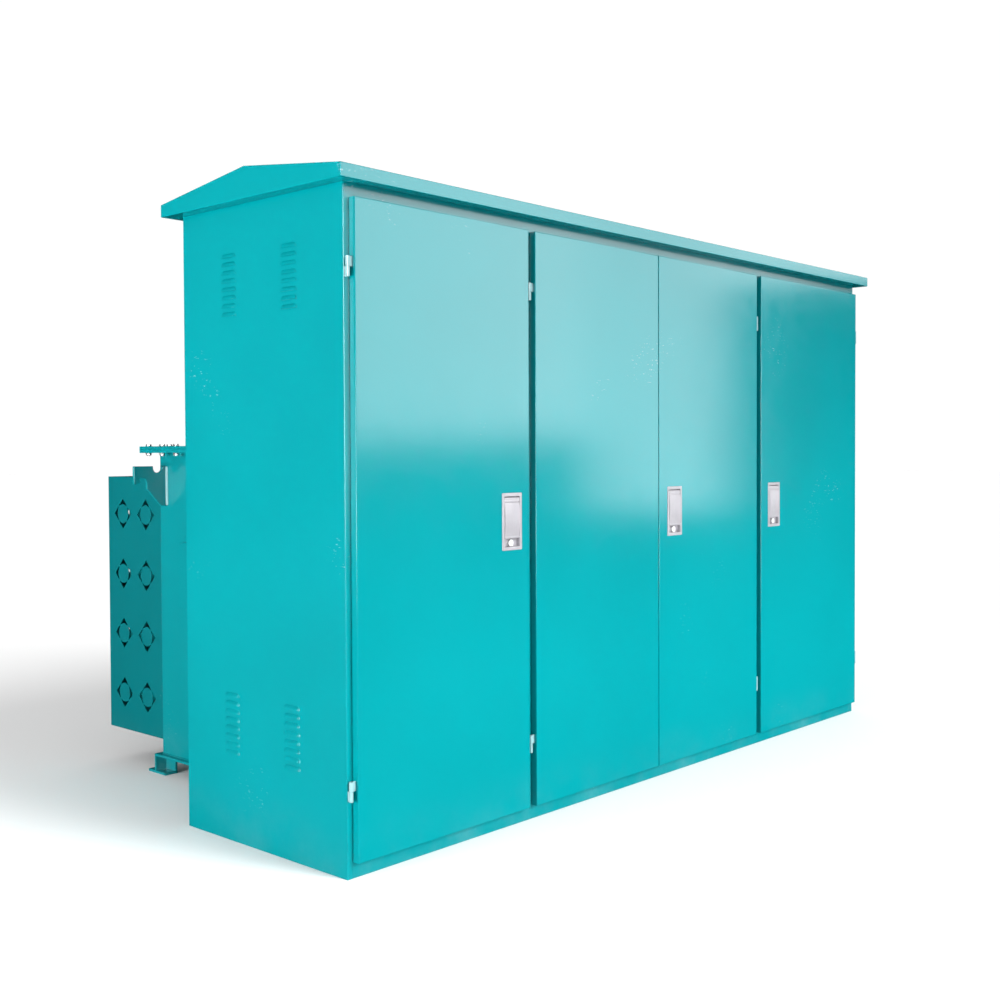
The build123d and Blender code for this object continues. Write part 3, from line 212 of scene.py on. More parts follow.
def done():
    """Back to object mode."""
    bpy.ops.object.mode_set(mode="OBJECT")


def pick(piece, mode, test):
    """Selects just the vertices or edges whose middle and direction pass a test."""
    bpy.ops.mesh.select_mode(type=mode)
    bpy.ops.mesh.select_all(action="DESELECT")
    shape = bmesh.from_edit_mesh(piece.data)
    if mode == "VERT":
        for vert in shape.verts:
            vert.select_set(test(vert.co, vert.normal))
    else:
        for edge in shape.edges:
            a, b = (vert.co for vert in edge.verts)
            edge.select_set(test((a + b) / 2, (b - a).normalized()))
    shape.select_flush_mode()
    bmesh.update_edit_mesh(piece.data)


def near(a, b, gap=0.0004):
    """Whether two lengths are the same to within a gap."""
    return abs(a - b) < gap


def placed(piece, move, turn=0.0, axis="X"):
    """Turns a piece about the origin and then moves it, in its mesh."""
    work_on(piece)
    if turn:
        rotate(turn, axis)
    shift(move)
    done()
    return piece


def slab(name, low, high):
    """A block between two corners, with its place in its mesh."""
    piece = start("cube", name, size=1)
    work_on(piece)
    resize(Vector(high) - Vector(low))
    shift((Vector(low) + Vector(high)) / 2)
    done()
    return piece


def use(piece, kind, **settings):
    """Adds a modifier with its settings and applies it."""
    alone(piece)
    modifier = piece.modifiers.new(kind.lower(), kind)
    for key, value in settings.items():
        setattr(modifier, key, value)
    bpy.ops.object.modifier_apply(modifier=modifier.name)
    return piece


def row_of(piece, count, step):
    """Repeats a piece in its own mesh at a constant step."""
    return use(piece, "ARRAY", count=count, use_relative_offset=False, use_constant_offset=True,
               constant_offset_displace=step)


def ease(piece, width, segments=2, turn=30.0):
    """Rounds every edge that turns more than an angle."""
    return use(piece, "BEVEL", width=width, segments=segments, limit_method="ANGLE",
               angle_limit=math.radians(turn), use_clamp_overlap=False)


def cut_out(piece, cutter):
    """Takes the cutter's shape out of the piece, and the cutter away."""
    use(piece, "BOOLEAN", operation="DIFFERENCE", solver="EXACT", object=cutter)
    bpy.data.objects.remove(cutter)
    return piece


def join(name, pieces):
    """Several pieces as one object."""
    bpy.ops.object.select_all(action="DESELECT")
    for piece in pieces:
        piece.select_set(True)
    bpy.context.view_layer.objects.active = pieces[0]
    if len(pieces) > 1:
        bpy.ops.object.join()
    pieces[0].name = name
    return pieces[0]


def copy_of(piece, move=(0, 0, 0)):
    """A copy with its own mesh, moved in its mesh."""
    twin = piece.copy()
    twin.data = piece.data.copy()
    scene.collection.objects.link(twin)
    return placed(twin, move) if Vector(move).length > 0 else twin


def outward(piece, doubles=0.00001):
    """Turns every face outward in edit mode, after merging doubles, and leaves edit mode."""
    whole()
    if doubles > 0:
        bpy.ops.mesh.remove_doubles(threshold=doubles)
    bpy.ops.mesh.normals_make_consistent(inside=False)
    done()
    return piece


def fit(piece, finish, nodes=(), body="housing", smooth=35.0):
    """Gives a finished piece its finish, the nodes it stands for and its body."""
    alone(piece)
    bpy.ops.object.shade_smooth_by_angle(angle=math.radians(smooth))
    use(piece, "WEIGHTED_NORMAL", keep_sharp=True)
    piece.data.materials.clear()
    piece.data.materials.append(finish)
    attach(piece, body)
    if nodes:
        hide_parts(*nodes)
    return piece


cabinet_coat = powder_coat("turquoise_powder_coat", coat_colour, scuffs=0.45, dust=0.12, buckle=0.002)

panel_low, panel_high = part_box("left_side_panel")
sheet = 0.003
louvre_proud = 0.008
louvre_rise = 0.013
louvre_length = 0.076
louvre_pitch = 0.026
louvre_sheet = 0.0014
dome_depth = 0.80
hood_proud = 0.006
slit_depth = 0.006
slit_margin = 0.003
slit_low = 0.0005
slit_under = 0.0045
louvre_rows = 8
louvre_columns = (0.250, 0.550)
louvre_groups = (1.842, 0.460)
fold_radius = 0.0035
end_face = panel_low.x + louvre_proud
front_fold = 0.018
back_fold = 0.040

side = start("plane", "side_sheet", size=1)
work_on(side)
rotate(math.pi / 2, "Y")
resize((1, panel_high.y - panel_low.y, panel_high.z))
shift((end_face, (panel_low.y + panel_high.y) / 2, panel_high.z / 2))
for at, reach in ((panel_low.y, front_fold), (panel_high.y, back_fold)):
    pick(side, "EDGE", lambda middle, along: near(middle.y, at) and near(middle.x, end_face))
    bpy.ops.mesh.extrude_region_move(TRANSFORM_OT_translate={"value": (reach, 0, 0)})
pick(side, "EDGE", lambda middle, along: near(middle.x, end_face) and near(abs(along.z), 1))
bpy.ops.mesh.bevel(offset=fold_radius, segments=4, affect="EDGES")
outward(side, doubles=0)
widest = max(side.data.polygons, key=lambda face: face.area)
use(side, "SOLIDIFY", thickness=sheet, offset=-1.0 if widest.normal.x < 0 else 1.0)

hood = start("uv_sphere", "louvre_hood", segments=24, ring_count=24, radius=1.0)
work_on(hood)
shift((dome_depth, 0, 0))
for normal, outer in (((1, 0, 0), True), ((0, 0, 1), False), ((0, 1, 0), False)):
    bpy.ops.mesh.bisect(plane_co=(0, 0, 0), plane_no=normal, clear_outer=outer, clear_inner=not outer)
    whole()
rim = math.sqrt(1 - dome_depth ** 2)
resize((hood_proud / (1 - dome_depth), louvre_rise / rim, louvre_rise / rim))
shift((0, louvre_length / 2 - louvre_rise, 0))
pick(hood, "EDGE", lambda middle, along: near(middle.y, louvre_length / 2 - louvre_rise, 0.0001))
bpy.ops.mesh.extrude_region_move(TRANSFORM_OT_translate={"value": (0, louvre_rise - louvre_length / 2, 0)})
outward(hood, doubles=0)
use(hood, "MIRROR", use_axis=(False, True, False), use_clip=True, merge_threshold=0.0001)
outermost = max(hood.data.polygons, key=lambda face: -face.center.x)
use(hood, "SOLIDIFY", thickness=louvre_sheet, offset=-1.0 if outermost.normal.x < 0 else 1.0)
slit_end = louvre_length / 2 - slit_margin
slit = slab("louvre_slit", (-slit_depth, -slit_end, slit_low),
            (slit_depth, slit_end, louvre_rise - slit_under))
for item in (hood, slit):
    row_of(item, louvre_rows, (0, 0, -louvre_pitch))
    row_of(item, len(louvre_columns), (0, louvre_columns[1] - louvre_columns[0], 0))
hoods = []
slits = []
for top_row in louvre_groups:
    place = (end_face, panel_low.y + louvre_columns[0], top_row)
    hoods.append(copy_of(hood, place))
    slits.append(copy_of(slit, place))
bpy.data.objects.remove(hood)
bpy.data.objects.remove(slit)
cut_out(side, join("slits", slits))
side = join("left_side_sheet", [side, *hoods])
other_side = copy_of(side)
other_side.name = "right_side_sheet"
work_on(other_side)
bpy.ops.transform.mirror(constraint_axis=(True, False, False), center_override=(0, 0, 0))
bpy.ops.mesh.flip_normals()
done()
fit(side, cabinet_coat, ["left_side_panel"])
fit(other_side, cabinet_coat, ["right_side_panel"])

# ---- Front frame, base frame, back sheets and partitions ----
# The front is one sheet with three doorways whose edges are folded back. It stands on a welded
# channel ring that is bolted to the pad. Plain sheets close the back and part the compartments.


def dressed(node, name, edge, finish, body="housing", turn=30.0, segments=2):
    """A merged copy of a CAD node, with its edges rounded, that stands for the node."""
    source = frame["nodes"][node]
    piece = bpy.data.objects.new(name, source.data.copy())
    scene.collection.objects.link(piece)
    work_on(piece)
    bpy.ops.mesh.remove_doubles(threshold=0.00002)
    bpy.ops.mesh.dissolve_limited(angle_limit=math.radians(0.6))
    done()
    if edge > 0:
        ease(piece, edge, segments, turn)
    return fit(piece, finish, [node], body)


frame_coat = powder_coat("turquoise_frame_coat", tinted(coat_colour, 0.97), scuffs=0.4, dust=0.25)
for node, name, edge in (
    ("front_frame", "front_sheet", 0.0012),
    ("base_frame", "base_channels", 0.0015),
    ("back_panel", "back_sheets", 0.0008),
    ("partitions", "partition_sheets", 0.0008),
):
    dressed(node, name, edge, frame_coat)

# ---- Roof ----
# A gable roof of folded and welded sheet: two slopes, a fascia all round and a soffit lip that
# hides the joint with the walls. The welds are ground flush and the roof lifts off as one piece.
dressed("roof", "gable_roof", 0.0016, cabinet_coat, segments=3)

# ---- Doors ----
# Each leaf is a 2 mm sheet folded into a pan, with a lip round its inside, a top-hat stiffener
# down its middle and, where it has a lock, two guide blocks for the latch bar.
door_coat = powder_coat("turquoise_door_coat", coat_colour, gloss=0.13, scuffs=0.35, dust=0.1, buckle=0.0015)
door_depth = 0.024
door_sheet = 0.002
door_lip = 0.040
door_fold = 0.0025
bezel_flange = 0.0087
for number in (1, 2, 3, 4):
    low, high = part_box(f"door_{number}")
    back = low.y + door_depth
    pan = start("plane", f"door_{number}_pan", size=1)
    work_on(pan)
    rotate(math.pi / 2, "X")
    resize((high.x - low.x, 1, high.z - low.z))
    shift(((low.x + high.x) / 2, low.y, (low.z + high.z) / 2))
    bpy.ops.mesh.select_mode(type="EDGE")
    whole()
    bpy.ops.mesh.extrude_edges_move(TRANSFORM_OT_translate={"value": (0, door_depth, 0)})
    bpy.ops.mesh.extrude_edges_move(TRANSFORM_OT_translate={"value": (0, 0, 0)})
    width, height = high.x - low.x, high.z - low.z
    resize((1 - 2 * door_lip / width, 1, 1 - 2 * door_lip / height),
           ((low.x + high.x) / 2, back, (low.z + high.z) / 2))
    pick(pan, "EDGE", lambda middle, along: near(middle.y, low.y))
    bpy.ops.mesh.bevel(offset=door_fold, segments=4, affect="EDGES")
    outward(pan, doubles=0)
    skin = max(pan.data.polygons, key=lambda face: face.area)
    use(pan, "SOLIDIFY", thickness=door_sheet, offset=-1.0 if skin.normal.y < 0 else 1.0)
    if f"door_{number}_handle_bezel" in frame["nodes"]:
        hole_low, hole_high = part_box(f"door_{number}_handle_bezel")
        hole_low = Vector((hole_low.x + bezel_flange, low.y - 0.01, hole_low.z + bezel_flange))
        hole_high = Vector((hole_high.x - bezel_flange, low.y + 0.01, hole_high.z - bezel_flange))
        cut_out(pan, slab("handle_hole", hole_low, hole_high))
    fittings = bpy.data.objects.new(f"door_{number}_fittings", frame["nodes"][f"door_{number}"].data.copy())
    scene.collection.objects.link(fittings)
    work_on(fittings)
    bpy.ops.mesh.remove_doubles(threshold=0.00002)
    pick(fittings, "VERT", lambda place, normal: near(place.x, low.x, 0.003))
    bpy.ops.mesh.select_linked()
    bpy.ops.mesh.delete(type="VERT")
    whole()
    bpy.ops.mesh.dissolve_limited(angle_limit=math.radians(0.6))
    done()
    ease(fittings, 0.0006)
    leaf = join(f"door_{number}_leaf", [pan, fittings])
    fit(leaf, door_coat, [f"door_{number}"], f"door_{number}")

# ---- Hinges ----
# Weld-on barrel hinges, two on each leaf. The lower knuckle and its pin are welded to the frame,
# and the upper knuckle, bored for the pin, is welded to the leaf's edge and painted with it.
# The hinge coat is paler than the cabinet coat: a painted highlight on the barrels.
hinge_highlight_coat = powder_coat("turquoise_hinge_coat", (0.20, 0.36, 0.38), gloss=0.20, scuffs=0.6)
dressed("hinge_frame_halves", "frame_knuckles", 0.0007, hinge_highlight_coat, turn=40.0)
for number in (1, 2, 3, 4):
    dressed(f"door_{number}_hinge_halves", f"door_{number}_knuckles", 0.0007, hinge_highlight_coat,
            body=f"door_{number}", turn=40.0)

# ---- Door seals ----
# A black EPDM foam strip is stuck round each doorway, where the door's lip closes on it.


def moulded(name, colour, gloss, grain=900.0, depth=0.00008, bloom=0.0):
    """Moulded plastic or rubber: fine texture, cloudy gloss and, on rubber, a pale bloom."""
    finish, tree, shader, place = new_finish(name)
    cloud = spread(tree, blotches(tree, place, 6.0, 3.0), 0.3, 0.7)
    base = shades(tree, cloud, tinted(colour, 0.9), tinted(colour, 1.1))
    if bloom > 0:
        dusty = spread(tree, blotches(tree, place, 22.0, 6.0, 0.65), 0.5, 0.75, 0.0, bloom)
        base = cover_with(tree, dusty, base, (0.42, 0.41, 0.39))
    rough = spread(tree, blotches(tree, place, 35.0, 4.0), 0.3, 0.7, gloss - 0.06, gloss + 0.08)
    normal = relief(tree, blotches(tree, place, grain, 2.0), depth)
    feed(tree, shader, [("Base Color", base), ("Roughness", rough), ("Normal", normal)])
    return finish


rubber = moulded("black_epdm", (0.018, 0.018, 0.019), 0.78, 700.0, 0.00015, bloom=0.35)
dressed("door_seals", "seal_strips", 0.0004, rubber)

# ---- Handles and locks ----
# Flush lift handles of die-cast zinc with a satin finish, pressed into the door and held from
# behind. The flap swings out on two pins, and the key turns the insert in the pocket below it.


def metal(name, colour, gloss, drawn=(1.0, 1.0, 1.0), grain=260.0, depth=0.00003, tarnish=0.0,
          dull=(0.3, 0.3, 0.3), bare=0.9):
    """Bare metal: drawn or brushed grain, cloudy gloss, and dull tarnish in patches."""
    finish, tree, shader, place = new_finish(name)
    along = shader_node(tree, "ShaderNodeMapping", [(0, place), (3, drawn)]).outputs[0]
    lines = blotches(tree, along, grain, 4.0, 0.6)
    cloud = spread(tree, blotches(tree, place, 14.0, 4.0), 0.3, 0.7)
    base = shades(tree, both(tree, lines, cloud), tinted(colour, 0.86), tinted(colour, 1.12))
    if tarnish > 0:
        dull_at = spread(tree, blotches(tree, place, 28.0, 6.0, 0.7), 0.48, 0.72, 0.0, tarnish)
        base = cover_with(tree, dull_at, base, dull)
    rough = spread(tree, blotches(tree, along, grain * 0.5, 3.0), 0.3, 0.7, gloss - 0.06, gloss + 0.10)
    normal = relief(tree, lines, depth)
    feed(tree, shader, [("Base Color", base), ("Roughness", rough), ("Normal", normal), ("Metallic", bare)])
    return finish


casting = metal("satin_zinc_casting", (0.40, 0.39, 0.42), 0.42, (1.0, 1.0, 0.12), 700.0, 0.00002, 0.12,
                (0.33, 0.32, 0.35), bare=0.35)
polished = metal("polished_zinc_casting", (0.80, 0.80, 0.82), 0.25, (1.0, 1.0, 0.12), 700.0, 0.00001, 0.05,
                 (0.60, 0.60, 0.62), bare=0.2)
handle_doors = [number for number in (1, 2, 3, 4) if f"door_{number}_handle_bezel" in frame["nodes"]]
groove_width = 0.0030
groove_depth = 0.0015
groove_share = 0.12
for number in handle_doors:
    door = f"door_{number}"
    dressed(f"{door}_handle_bezel", f"{door}_bezel", 0.0005, casting, door)
    flap = dressed(f"{door}_handle_flap", f"{door}_flap", 0.0004, casting, f"flap_{number}")
    low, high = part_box(f"{door}_handle_flap")
    front = max(flap.data.polygons, key=lambda polygon: polygon.area).center.y
    z = high.z - groove_share * (high.z - low.z)
    cut_out(flap, slab("flap_groove", (low.x + 0.002, low.y - 0.002, z - groove_width / 2),
                       (high.x - 0.002, front + groove_depth, z + groove_width / 2)))
    use(flap, "WEIGHTED_NORMAL", keep_sharp=True)
    dressed(f"{door}_lock_insert", f"{door}_key_insert", 0.0004, polished, f"lock_{number}")

# ---- Latch bars, keepers and shoot bolts ----
# Bright zinc-plated steel: flat bars that slide in the door with a hook welded near each end,
# keeper brackets with a pin on the door frame, and two round bolts on the leaf without a lock.
zinc = metal("bright_zinc_plate", (0.50, 0.49, 0.50), 0.30, (1.0, 1.0, 0.3), 300.0, 0.00003, 0.30,
             (0.30, 0.27, 0.27), bare=0.7)
for number in handle_doors:
    dressed(f"door_{number}_latch_bar", f"door_{number}_bar", 0.0006, zinc, f"latch_{number}")
dressed("latch_keepers", "keeper_brackets", 0.0006, zinc)
dressed("leaf_bolt_top", "top_shoot_bolt", 0.0008, zinc, "leaf_bolt_top")
dressed("leaf_bolt_bottom", "bottom_shoot_bolt", 0.0008, zinc, "leaf_bolt_bottom")

# ---- Tank ----
# The oil tank is welded from 8 mm plate: walls, a floor plate whose edge stands out, four feet
# and four lifting lugs. The fillet welds show as rippled beads, and all of it is painted.


def pieces_of(node):
    """Low and high corner of each separate solid of a node, in order."""
    shape = bmesh.new()
    shape.from_mesh(frame["nodes"][node].data)
    bmesh.ops.remove_doubles(shape, verts=shape.verts[:], dist=0.00002)
    left = set(shape.verts)
    found = []
    while left:
        front = [left.pop()]
        solid = []
        while front:
            vert = front.pop()
            solid.append(vert.co.copy())
            for edge in vert.link_edges:
                other = edge.other_vert(vert)
                if other in left:
                    left.discard(other)
                    front.append(other)
        low = Vector(min(place[i] for place in solid) for i in range(3))
        high = Vector(max(place[i] for place in solid) for i in range(3))
        found.append((low, high))
    shape.free()
    return sorted(found, key=lambda pair: tuple(round(part, 4) for part in pair[0]))


def weld(name, begin, end, size, finish):
    """A rippled fillet weld along a straight line."""
    begin, end = Vector(begin), Vector(end)
    step = size * 0.62
    count = max(2, int((end - begin).length / step))
    bead = start("uv_sphere", name, segments=8, ring_count=6, radius=1.0)
    work_on(bead)
    resize((size, size, size * 0.8))
    shift(begin)
    done()
    row_of(bead, count, (end - begin) / (count - 1))
    return fit(bead, finish, smooth=60.0)


# The tank and lug coats are darkened a little from the cabinet coat, as painted shade.
tank_shade_coat = powder_coat("tank_enamel_painted_shade", tinted(coat_colour, 0.92), gloss=0.22, scuffs=0.5, dust=0.25,
                        buckle=0.002)
lug_shade_coat = powder_coat("tank_edge_enamel_painted_shade", tinted(coat_colour, 0.93), gloss=0.20)
dressed("tank_shell", "tank_walls", 0.0012, tank_shade_coat)
dressed("tank_bottom", "tank_floor_plate", 0.0015, tank_shade_coat)
dressed("tank_feet", "tank_feet_plates", 0.0012, tank_shade_coat)
dressed("lifting_lugs", "lifting_lug_plates", 0.0020, lug_shade_coat)
# The weld bead coat is pale: a painted highlight along the lug welds.
bead_highlight_coat = powder_coat("weld_bead_coat", (0.26, 0.46, 0.48), gloss=0.14)
bead_size = 0.0045
lug_bead = 0.0065
for count, (low, high) in enumerate(pieces_of("lifting_lugs")):
    wall = high.x if low.x < 0 else low.x
    for face in (low.y, high.y):
        weld(f"lug_weld_{count}_{int(face > low.y)}", (wall, face, low.z + lug_bead),
             (wall, face, high.z - lug_bead), lug_bead, bead_highlight_coat)
floor_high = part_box("tank_bottom")[1]
shell_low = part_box("tank_shell")[0]
end_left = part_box("nameplate_bracket")[1].x
end_right = -end_left
back_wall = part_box("guard_left")[0].y
front_end = shell_low.y + 0.01
for name, begin, end in (
    ("left", (end_left, front_end), (end_left, back_wall)),
    ("right", (end_right, front_end), (end_right, back_wall)),
    ("back", (end_left, back_wall), (end_right, back_wall)),
):
    weld(f"floor_weld_{name}", (*begin, floor_high.z), (*end, floor_high.z), bead_size, tank_shade_coat)

# ---- Tank cover ----
# A flat steel cover on a rubber gasket, painted over with the tank, and held down round its edge
# by zinc-plated hexagon bolts with a washer under each head and each nut.
dressed("tank_cover", "cover_plate", 0.0010, tank_shade_coat)
dressed("cover_gasket", "cover_gasket_strip", 0.0, tank_shade_coat)
bolt_places = pieces_of("cover_bolts")
bolt_low, bolt_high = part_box("cover_bolts")
cover_low, cover_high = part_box("tank_cover")
gasket_thickness = 0.003
rim_thickness = 0.012
rim_under = cover_low.z - gasket_thickness - rim_thickness
head_radius = 0.0105
nut_radius = 0.0105
washer_radius = 0.0122
washer_sheet = 0.0018
shank_radius = 0.0058
thread_length = 0.006
nut_above_end = 0.0025
hexagon_chamfer = 0.0009


def hexagon(name, radius, low, high):
    """A hexagon head or nut with chamfered corners."""
    piece = start("cylinder", name, vertices=6, radius=radius, depth=high - low)
    return ease(placed(piece, (0, 0, (low + high) / 2)), hexagon_chamfer, 2)


head = hexagon("bolt_head", head_radius, cover_high.z + washer_sheet, bolt_high.z)
nut = hexagon("bolt_nut", nut_radius, bolt_low.z + nut_above_end, rim_under - washer_sheet)
washers = []
for bottom in (cover_high.z, rim_under - washer_sheet):
    washer = start("cylinder", "washer", vertices=20, radius=washer_radius, depth=washer_sheet)
    washers.append(ease(placed(washer, (0, 0, bottom + washer_sheet / 2)), 0.0004, 1))
shank = start("cylinder", "bolt_thread", vertices=10, radius=shank_radius, depth=thread_length)
ease(placed(shank, (0, 0, bolt_low.z + thread_length / 2)), 0.0008, 1)
bolt = join("cover_bolt", [head, nut, *washers, shank])
copies = [copy_of(bolt, ((low.x + high.x) / 2, (low.y + high.y) / 2, 0)) for low, high in bolt_places]
bpy.data.objects.remove(bolt)
fit(join("cover_bolt_set", copies), zinc, ["cover_bolts"])

# ---- Radiators ----
# Four radiators of thin pressed panels: two sheets seam-welded at the edge, with upright oil
# channels pressed into both, on a header pipe at the top and bottom and a flanged valve on each.
radiator_coat = powder_coat("radiator_enamel", tinted(coat_colour, 0.8), gloss=0.36, scuffs=0.3, dust=0.5)
panel_seam = 0.0026
channel_count = 6
rail_pieces = pieces_of("radiators")
panel_width = min(high.x - low.x for low, high in rail_pieces)
plates = [(low, high) for low, high in rail_pieces if high.x - low.x < 2 * panel_width]
low, high = plates[0]
depth, height = high.y - low.y, high.z - low.z
middle_z = (low.z + high.z) / 2
plate = slab("radiator_sheet", (-panel_seam / 2, low.y, low.z), (panel_seam / 2, high.y, high.z))
channel_pitch = depth / (channel_count + 0.4)
channel = start("uv_sphere", "oil_channel", segments=10, ring_count=8, radius=1.0)
work_on(channel)
resize((panel_width / 2, channel_pitch * 0.42, channel_pitch * 0.42))
pick(channel, "VERT", lambda place, normal: place.z > 0.0001)
shift((0, 0, height / 2 - channel_pitch * 0.62))
pick(channel, "VERT", lambda place, normal: place.z < -0.0001)
shift((0, 0, channel_pitch * 0.62 - height / 2))
whole()
shift((0, low.y + channel_pitch * 0.7, middle_z))
done()
row_of(channel, channel_count, (0, channel_pitch, 0))
pattern = join("radiator_panel", [plate, channel])
panel_pitch = plates[1][0].x - plates[0][0].x
header_radius = 0.038
header_end = 0.008
stub_radius = 0.026
pipe_y = low.y + depth / 3
valve_places = pieces_of("radiator_valves")
metalwork = []
for low, high in (pair for pair in rail_pieces if pair not in plates):
    count = round((high.x - low.x - panel_width) / panel_pitch) + 1
    for step in range(count):
        metalwork.append(copy_of(pattern, (low.x + panel_width / 2 + step * panel_pitch, 0, 0)))
    for valve_low, valve_high in valve_places:
        if not low.x < valve_low.x < high.x:
            continue
        z = (valve_low.z + valve_high.z) / 2
        x = (valve_low.x + valve_high.x) / 2
        header = start("cylinder", "header_pipe", vertices=28, radius=header_radius, depth=high.x - low.x)
        placed(header, ((low.x + high.x) / 2, pipe_y, z), math.pi / 2, "Y")
        metalwork.append(ease(header, header_end, 3))
        reach = pipe_y - valve_high.y
        stub = start("cylinder", "header_stub", vertices=24, radius=stub_radius, depth=reach)
        metalwork.append(placed(stub, (x, (pipe_y + valve_high.y) / 2, z), math.pi / 2, "X"))
bpy.data.objects.remove(pattern)
fit(join("radiator_bank", metalwork), radiator_coat, ["radiators"])


def turned(name, outline, middle, axis, steps=28):
    """A lathe-turned shape: (radius, distance) points spun round an axis from its middle."""
    axis = Vector(axis)
    across = axis.orthogonal().normalized()
    points = [Vector(middle) + across * radius + axis * along for radius, along in outline]
    piece = start("plane", name, size=0.001)
    work_on(piece)
    bpy.ops.mesh.merge(type="CENTER")
    shift(points[0])
    for here, there in zip(points, points[1:]):
        bpy.ops.mesh.extrude_region_move(TRANSFORM_OT_translate={"value": there - here})
    whole()
    bpy.ops.mesh.spin(steps=steps, angle=2 * math.pi, center=middle, axis=axis)
    return outward(piece)


def round_of(pattern, count, middle):
    """Copies of a piece turned evenly round a level axis through a middle, the first in place."""
    made = [pattern]
    for step in range(1, count):
        twin = copy_of(pattern)
        work_on(twin)
        rotate(2 * math.pi * step / count, "Y", middle)
        done()
        made.append(twin)
    return made


def bolt_head(name, radius, length, place, out=(0, -1, 0)):
    """A hexagon head that stands out from a face along an axis."""
    piece = hexagon(name, radius, 0.0, length)
    work_on(piece)
    turn = Vector((0, 0, 1)).rotation_difference(Vector(out)).to_euler()
    for amount, about in zip(turn, "XYZ"):
        if abs(amount) > 0.001:
            rotate(-amount, about)
    shift(place)
    done()
    return piece


valve_outline = [
    (0.0, 0.0), (0.060, 0.0), (0.062, 0.002), (0.062, 0.010), (0.060, 0.012), (0.046, 0.012),
    (0.046, 0.018), (0.060, 0.018), (0.062, 0.020), (0.062, 0.028), (0.060, 0.030), (0.0, 0.030),
]
valves = []
valve_bolts = []
for low, high in valve_places:
    middle = Vector(((low.x + high.x) / 2, low.y, (low.z + high.z) / 2))
    valves.append(turned("radiator_valve", valve_outline, middle, (0, 1, 0)))
    for side in (-1, 1):
        place = middle + Vector((0, 0.030, side * 0.053))
        first = bolt_head("valve_bolt", 0.008, 0.006, place, (0, 1, 0))
        valve_bolts += round_of(first, 3, middle)
fit(join("radiator_valve_set", valves), tank_shade_coat, ["radiator_valves"])
fit(join("radiator_valve_bolts", valve_bolts), zinc)

# ---- Radiator guard ----
# Folded sheets bolted round the radiators, punched with rings of arrow-shaped slots so that air gets
# through. They stand behind the cabinet, and their coat is painted darker than the cabinet's, as painted
# shade.
guard_shade_coat = powder_coat("guard_enamel_painted_shade", tinted(coat_colour, 0.60), gloss=0.24, scuffs=0.4, dust=0.2,
                         buckle=0.002)
for side in ("left", "right", "back"):
    dressed(f"guard_{side}", f"guard_{side}_sheet", 0.0004, guard_shade_coat)

# ---- Plate bracket ----
# A raised steel plate on folded tabs, welded to the tank's left wall, that carries a blank plate.
# Both have been painted over with the tank.
dressed("nameplate_bracket", "plate_bracket", 0.0010, lug_shade_coat)
dressed("rating_plate", "blank_plate", 0.0003, lug_shade_coat)

# ---- Core and windings ----
# Inside the tank: a three-limb core of varnished laminated steel, with a concentric copper
# winding on each limb.
lamination = metal("laminated_steel", (0.16, 0.16, 0.18), 0.5, (0.02, 1.0, 0.02), 900.0, 0.0001, 0.3)
copper = metal("bare_copper", (0.72, 0.37, 0.24), 0.33, (1.0, 1.0, 0.08), 420.0, 0.00003, 0.35,
               (0.36, 0.17, 0.10))
dressed("core", "limb_core", 0.0010, lamination)
dressed("windings", "limb_windings", 0.0040, copper)

# ---- High-voltage bushings ----
# Brown cast-resin insulators with four sheds, clamped to the tank's front wall by a flange with
# six bolts, and a brass terminal stud in the end of each.
resin = moulded("brown_cast_resin", (0.20, 0.055, 0.035), 0.22, 120.0, 0.00004, bloom=0.10)
brass = metal("machined_brass", (0.72, 0.52, 0.20), 0.28, (1.0, 1.0, 0.2), 300.0, 0.00003, 0.3,
              (0.34, 0.22, 0.09))
out = Vector((0, -1, 0))
shed_count = 4
shed_reach = 0.013
root_radius, tip_radius = 0.044, 0.026
body_start, body_end = 0.020, 0.168
shed_pitch = (body_end - body_start) / (shed_count + 0.4)
hv_outline = [(0.0, 0.0), (0.066, 0.0), (0.068, 0.002), (0.068, 0.011), (0.065, 0.014), (0.050, 0.014)]
for shed in range(shed_count):
    along = body_start + shed * shed_pitch
    share = (along - body_start) / (body_end - body_start)
    radius = root_radius + share * (tip_radius - root_radius)
    shed_radius = radius + shed_reach
    hv_outline += [(radius, along), (radius, along + shed_pitch * 0.35),
                   (shed_radius, along + shed_pitch * 0.62), (shed_radius, along + shed_pitch * 0.70),
                   (radius, along + shed_pitch * 0.86)]
hv_outline += [(tip_radius, body_end - 0.004), (tip_radius - 0.003, body_end), (0.0, body_end)]
stud_outline = [(0.0, body_end), (0.016, body_end), (0.016, body_end + 0.006), (0.0095, body_end + 0.007),
                (0.0095, 0.192), (0.008, 0.194), (0.0, 0.194)]
insulators, studs, flange_bolts = [], [], []
for low, high in pieces_of("hv_bushings"):
    middle = Vector(((low.x + high.x) / 2, shell_low.y, (low.z + high.z) / 2))
    insulators.append(turned("hv_insulator", hv_outline, middle, out, 36))
    studs.append(turned("hv_stud", stud_outline, middle, out, 18))
    first = bolt_head("hv_flange_bolt", 0.0075, 0.006, middle + Vector((0, -0.014, 0.058)))
    flange_bolts += round_of(first, 6, middle)
fit(join("hv_insulators", insulators), resin, ["hv_bushings"])
fit(join("hv_terminal_studs", studs), brass)

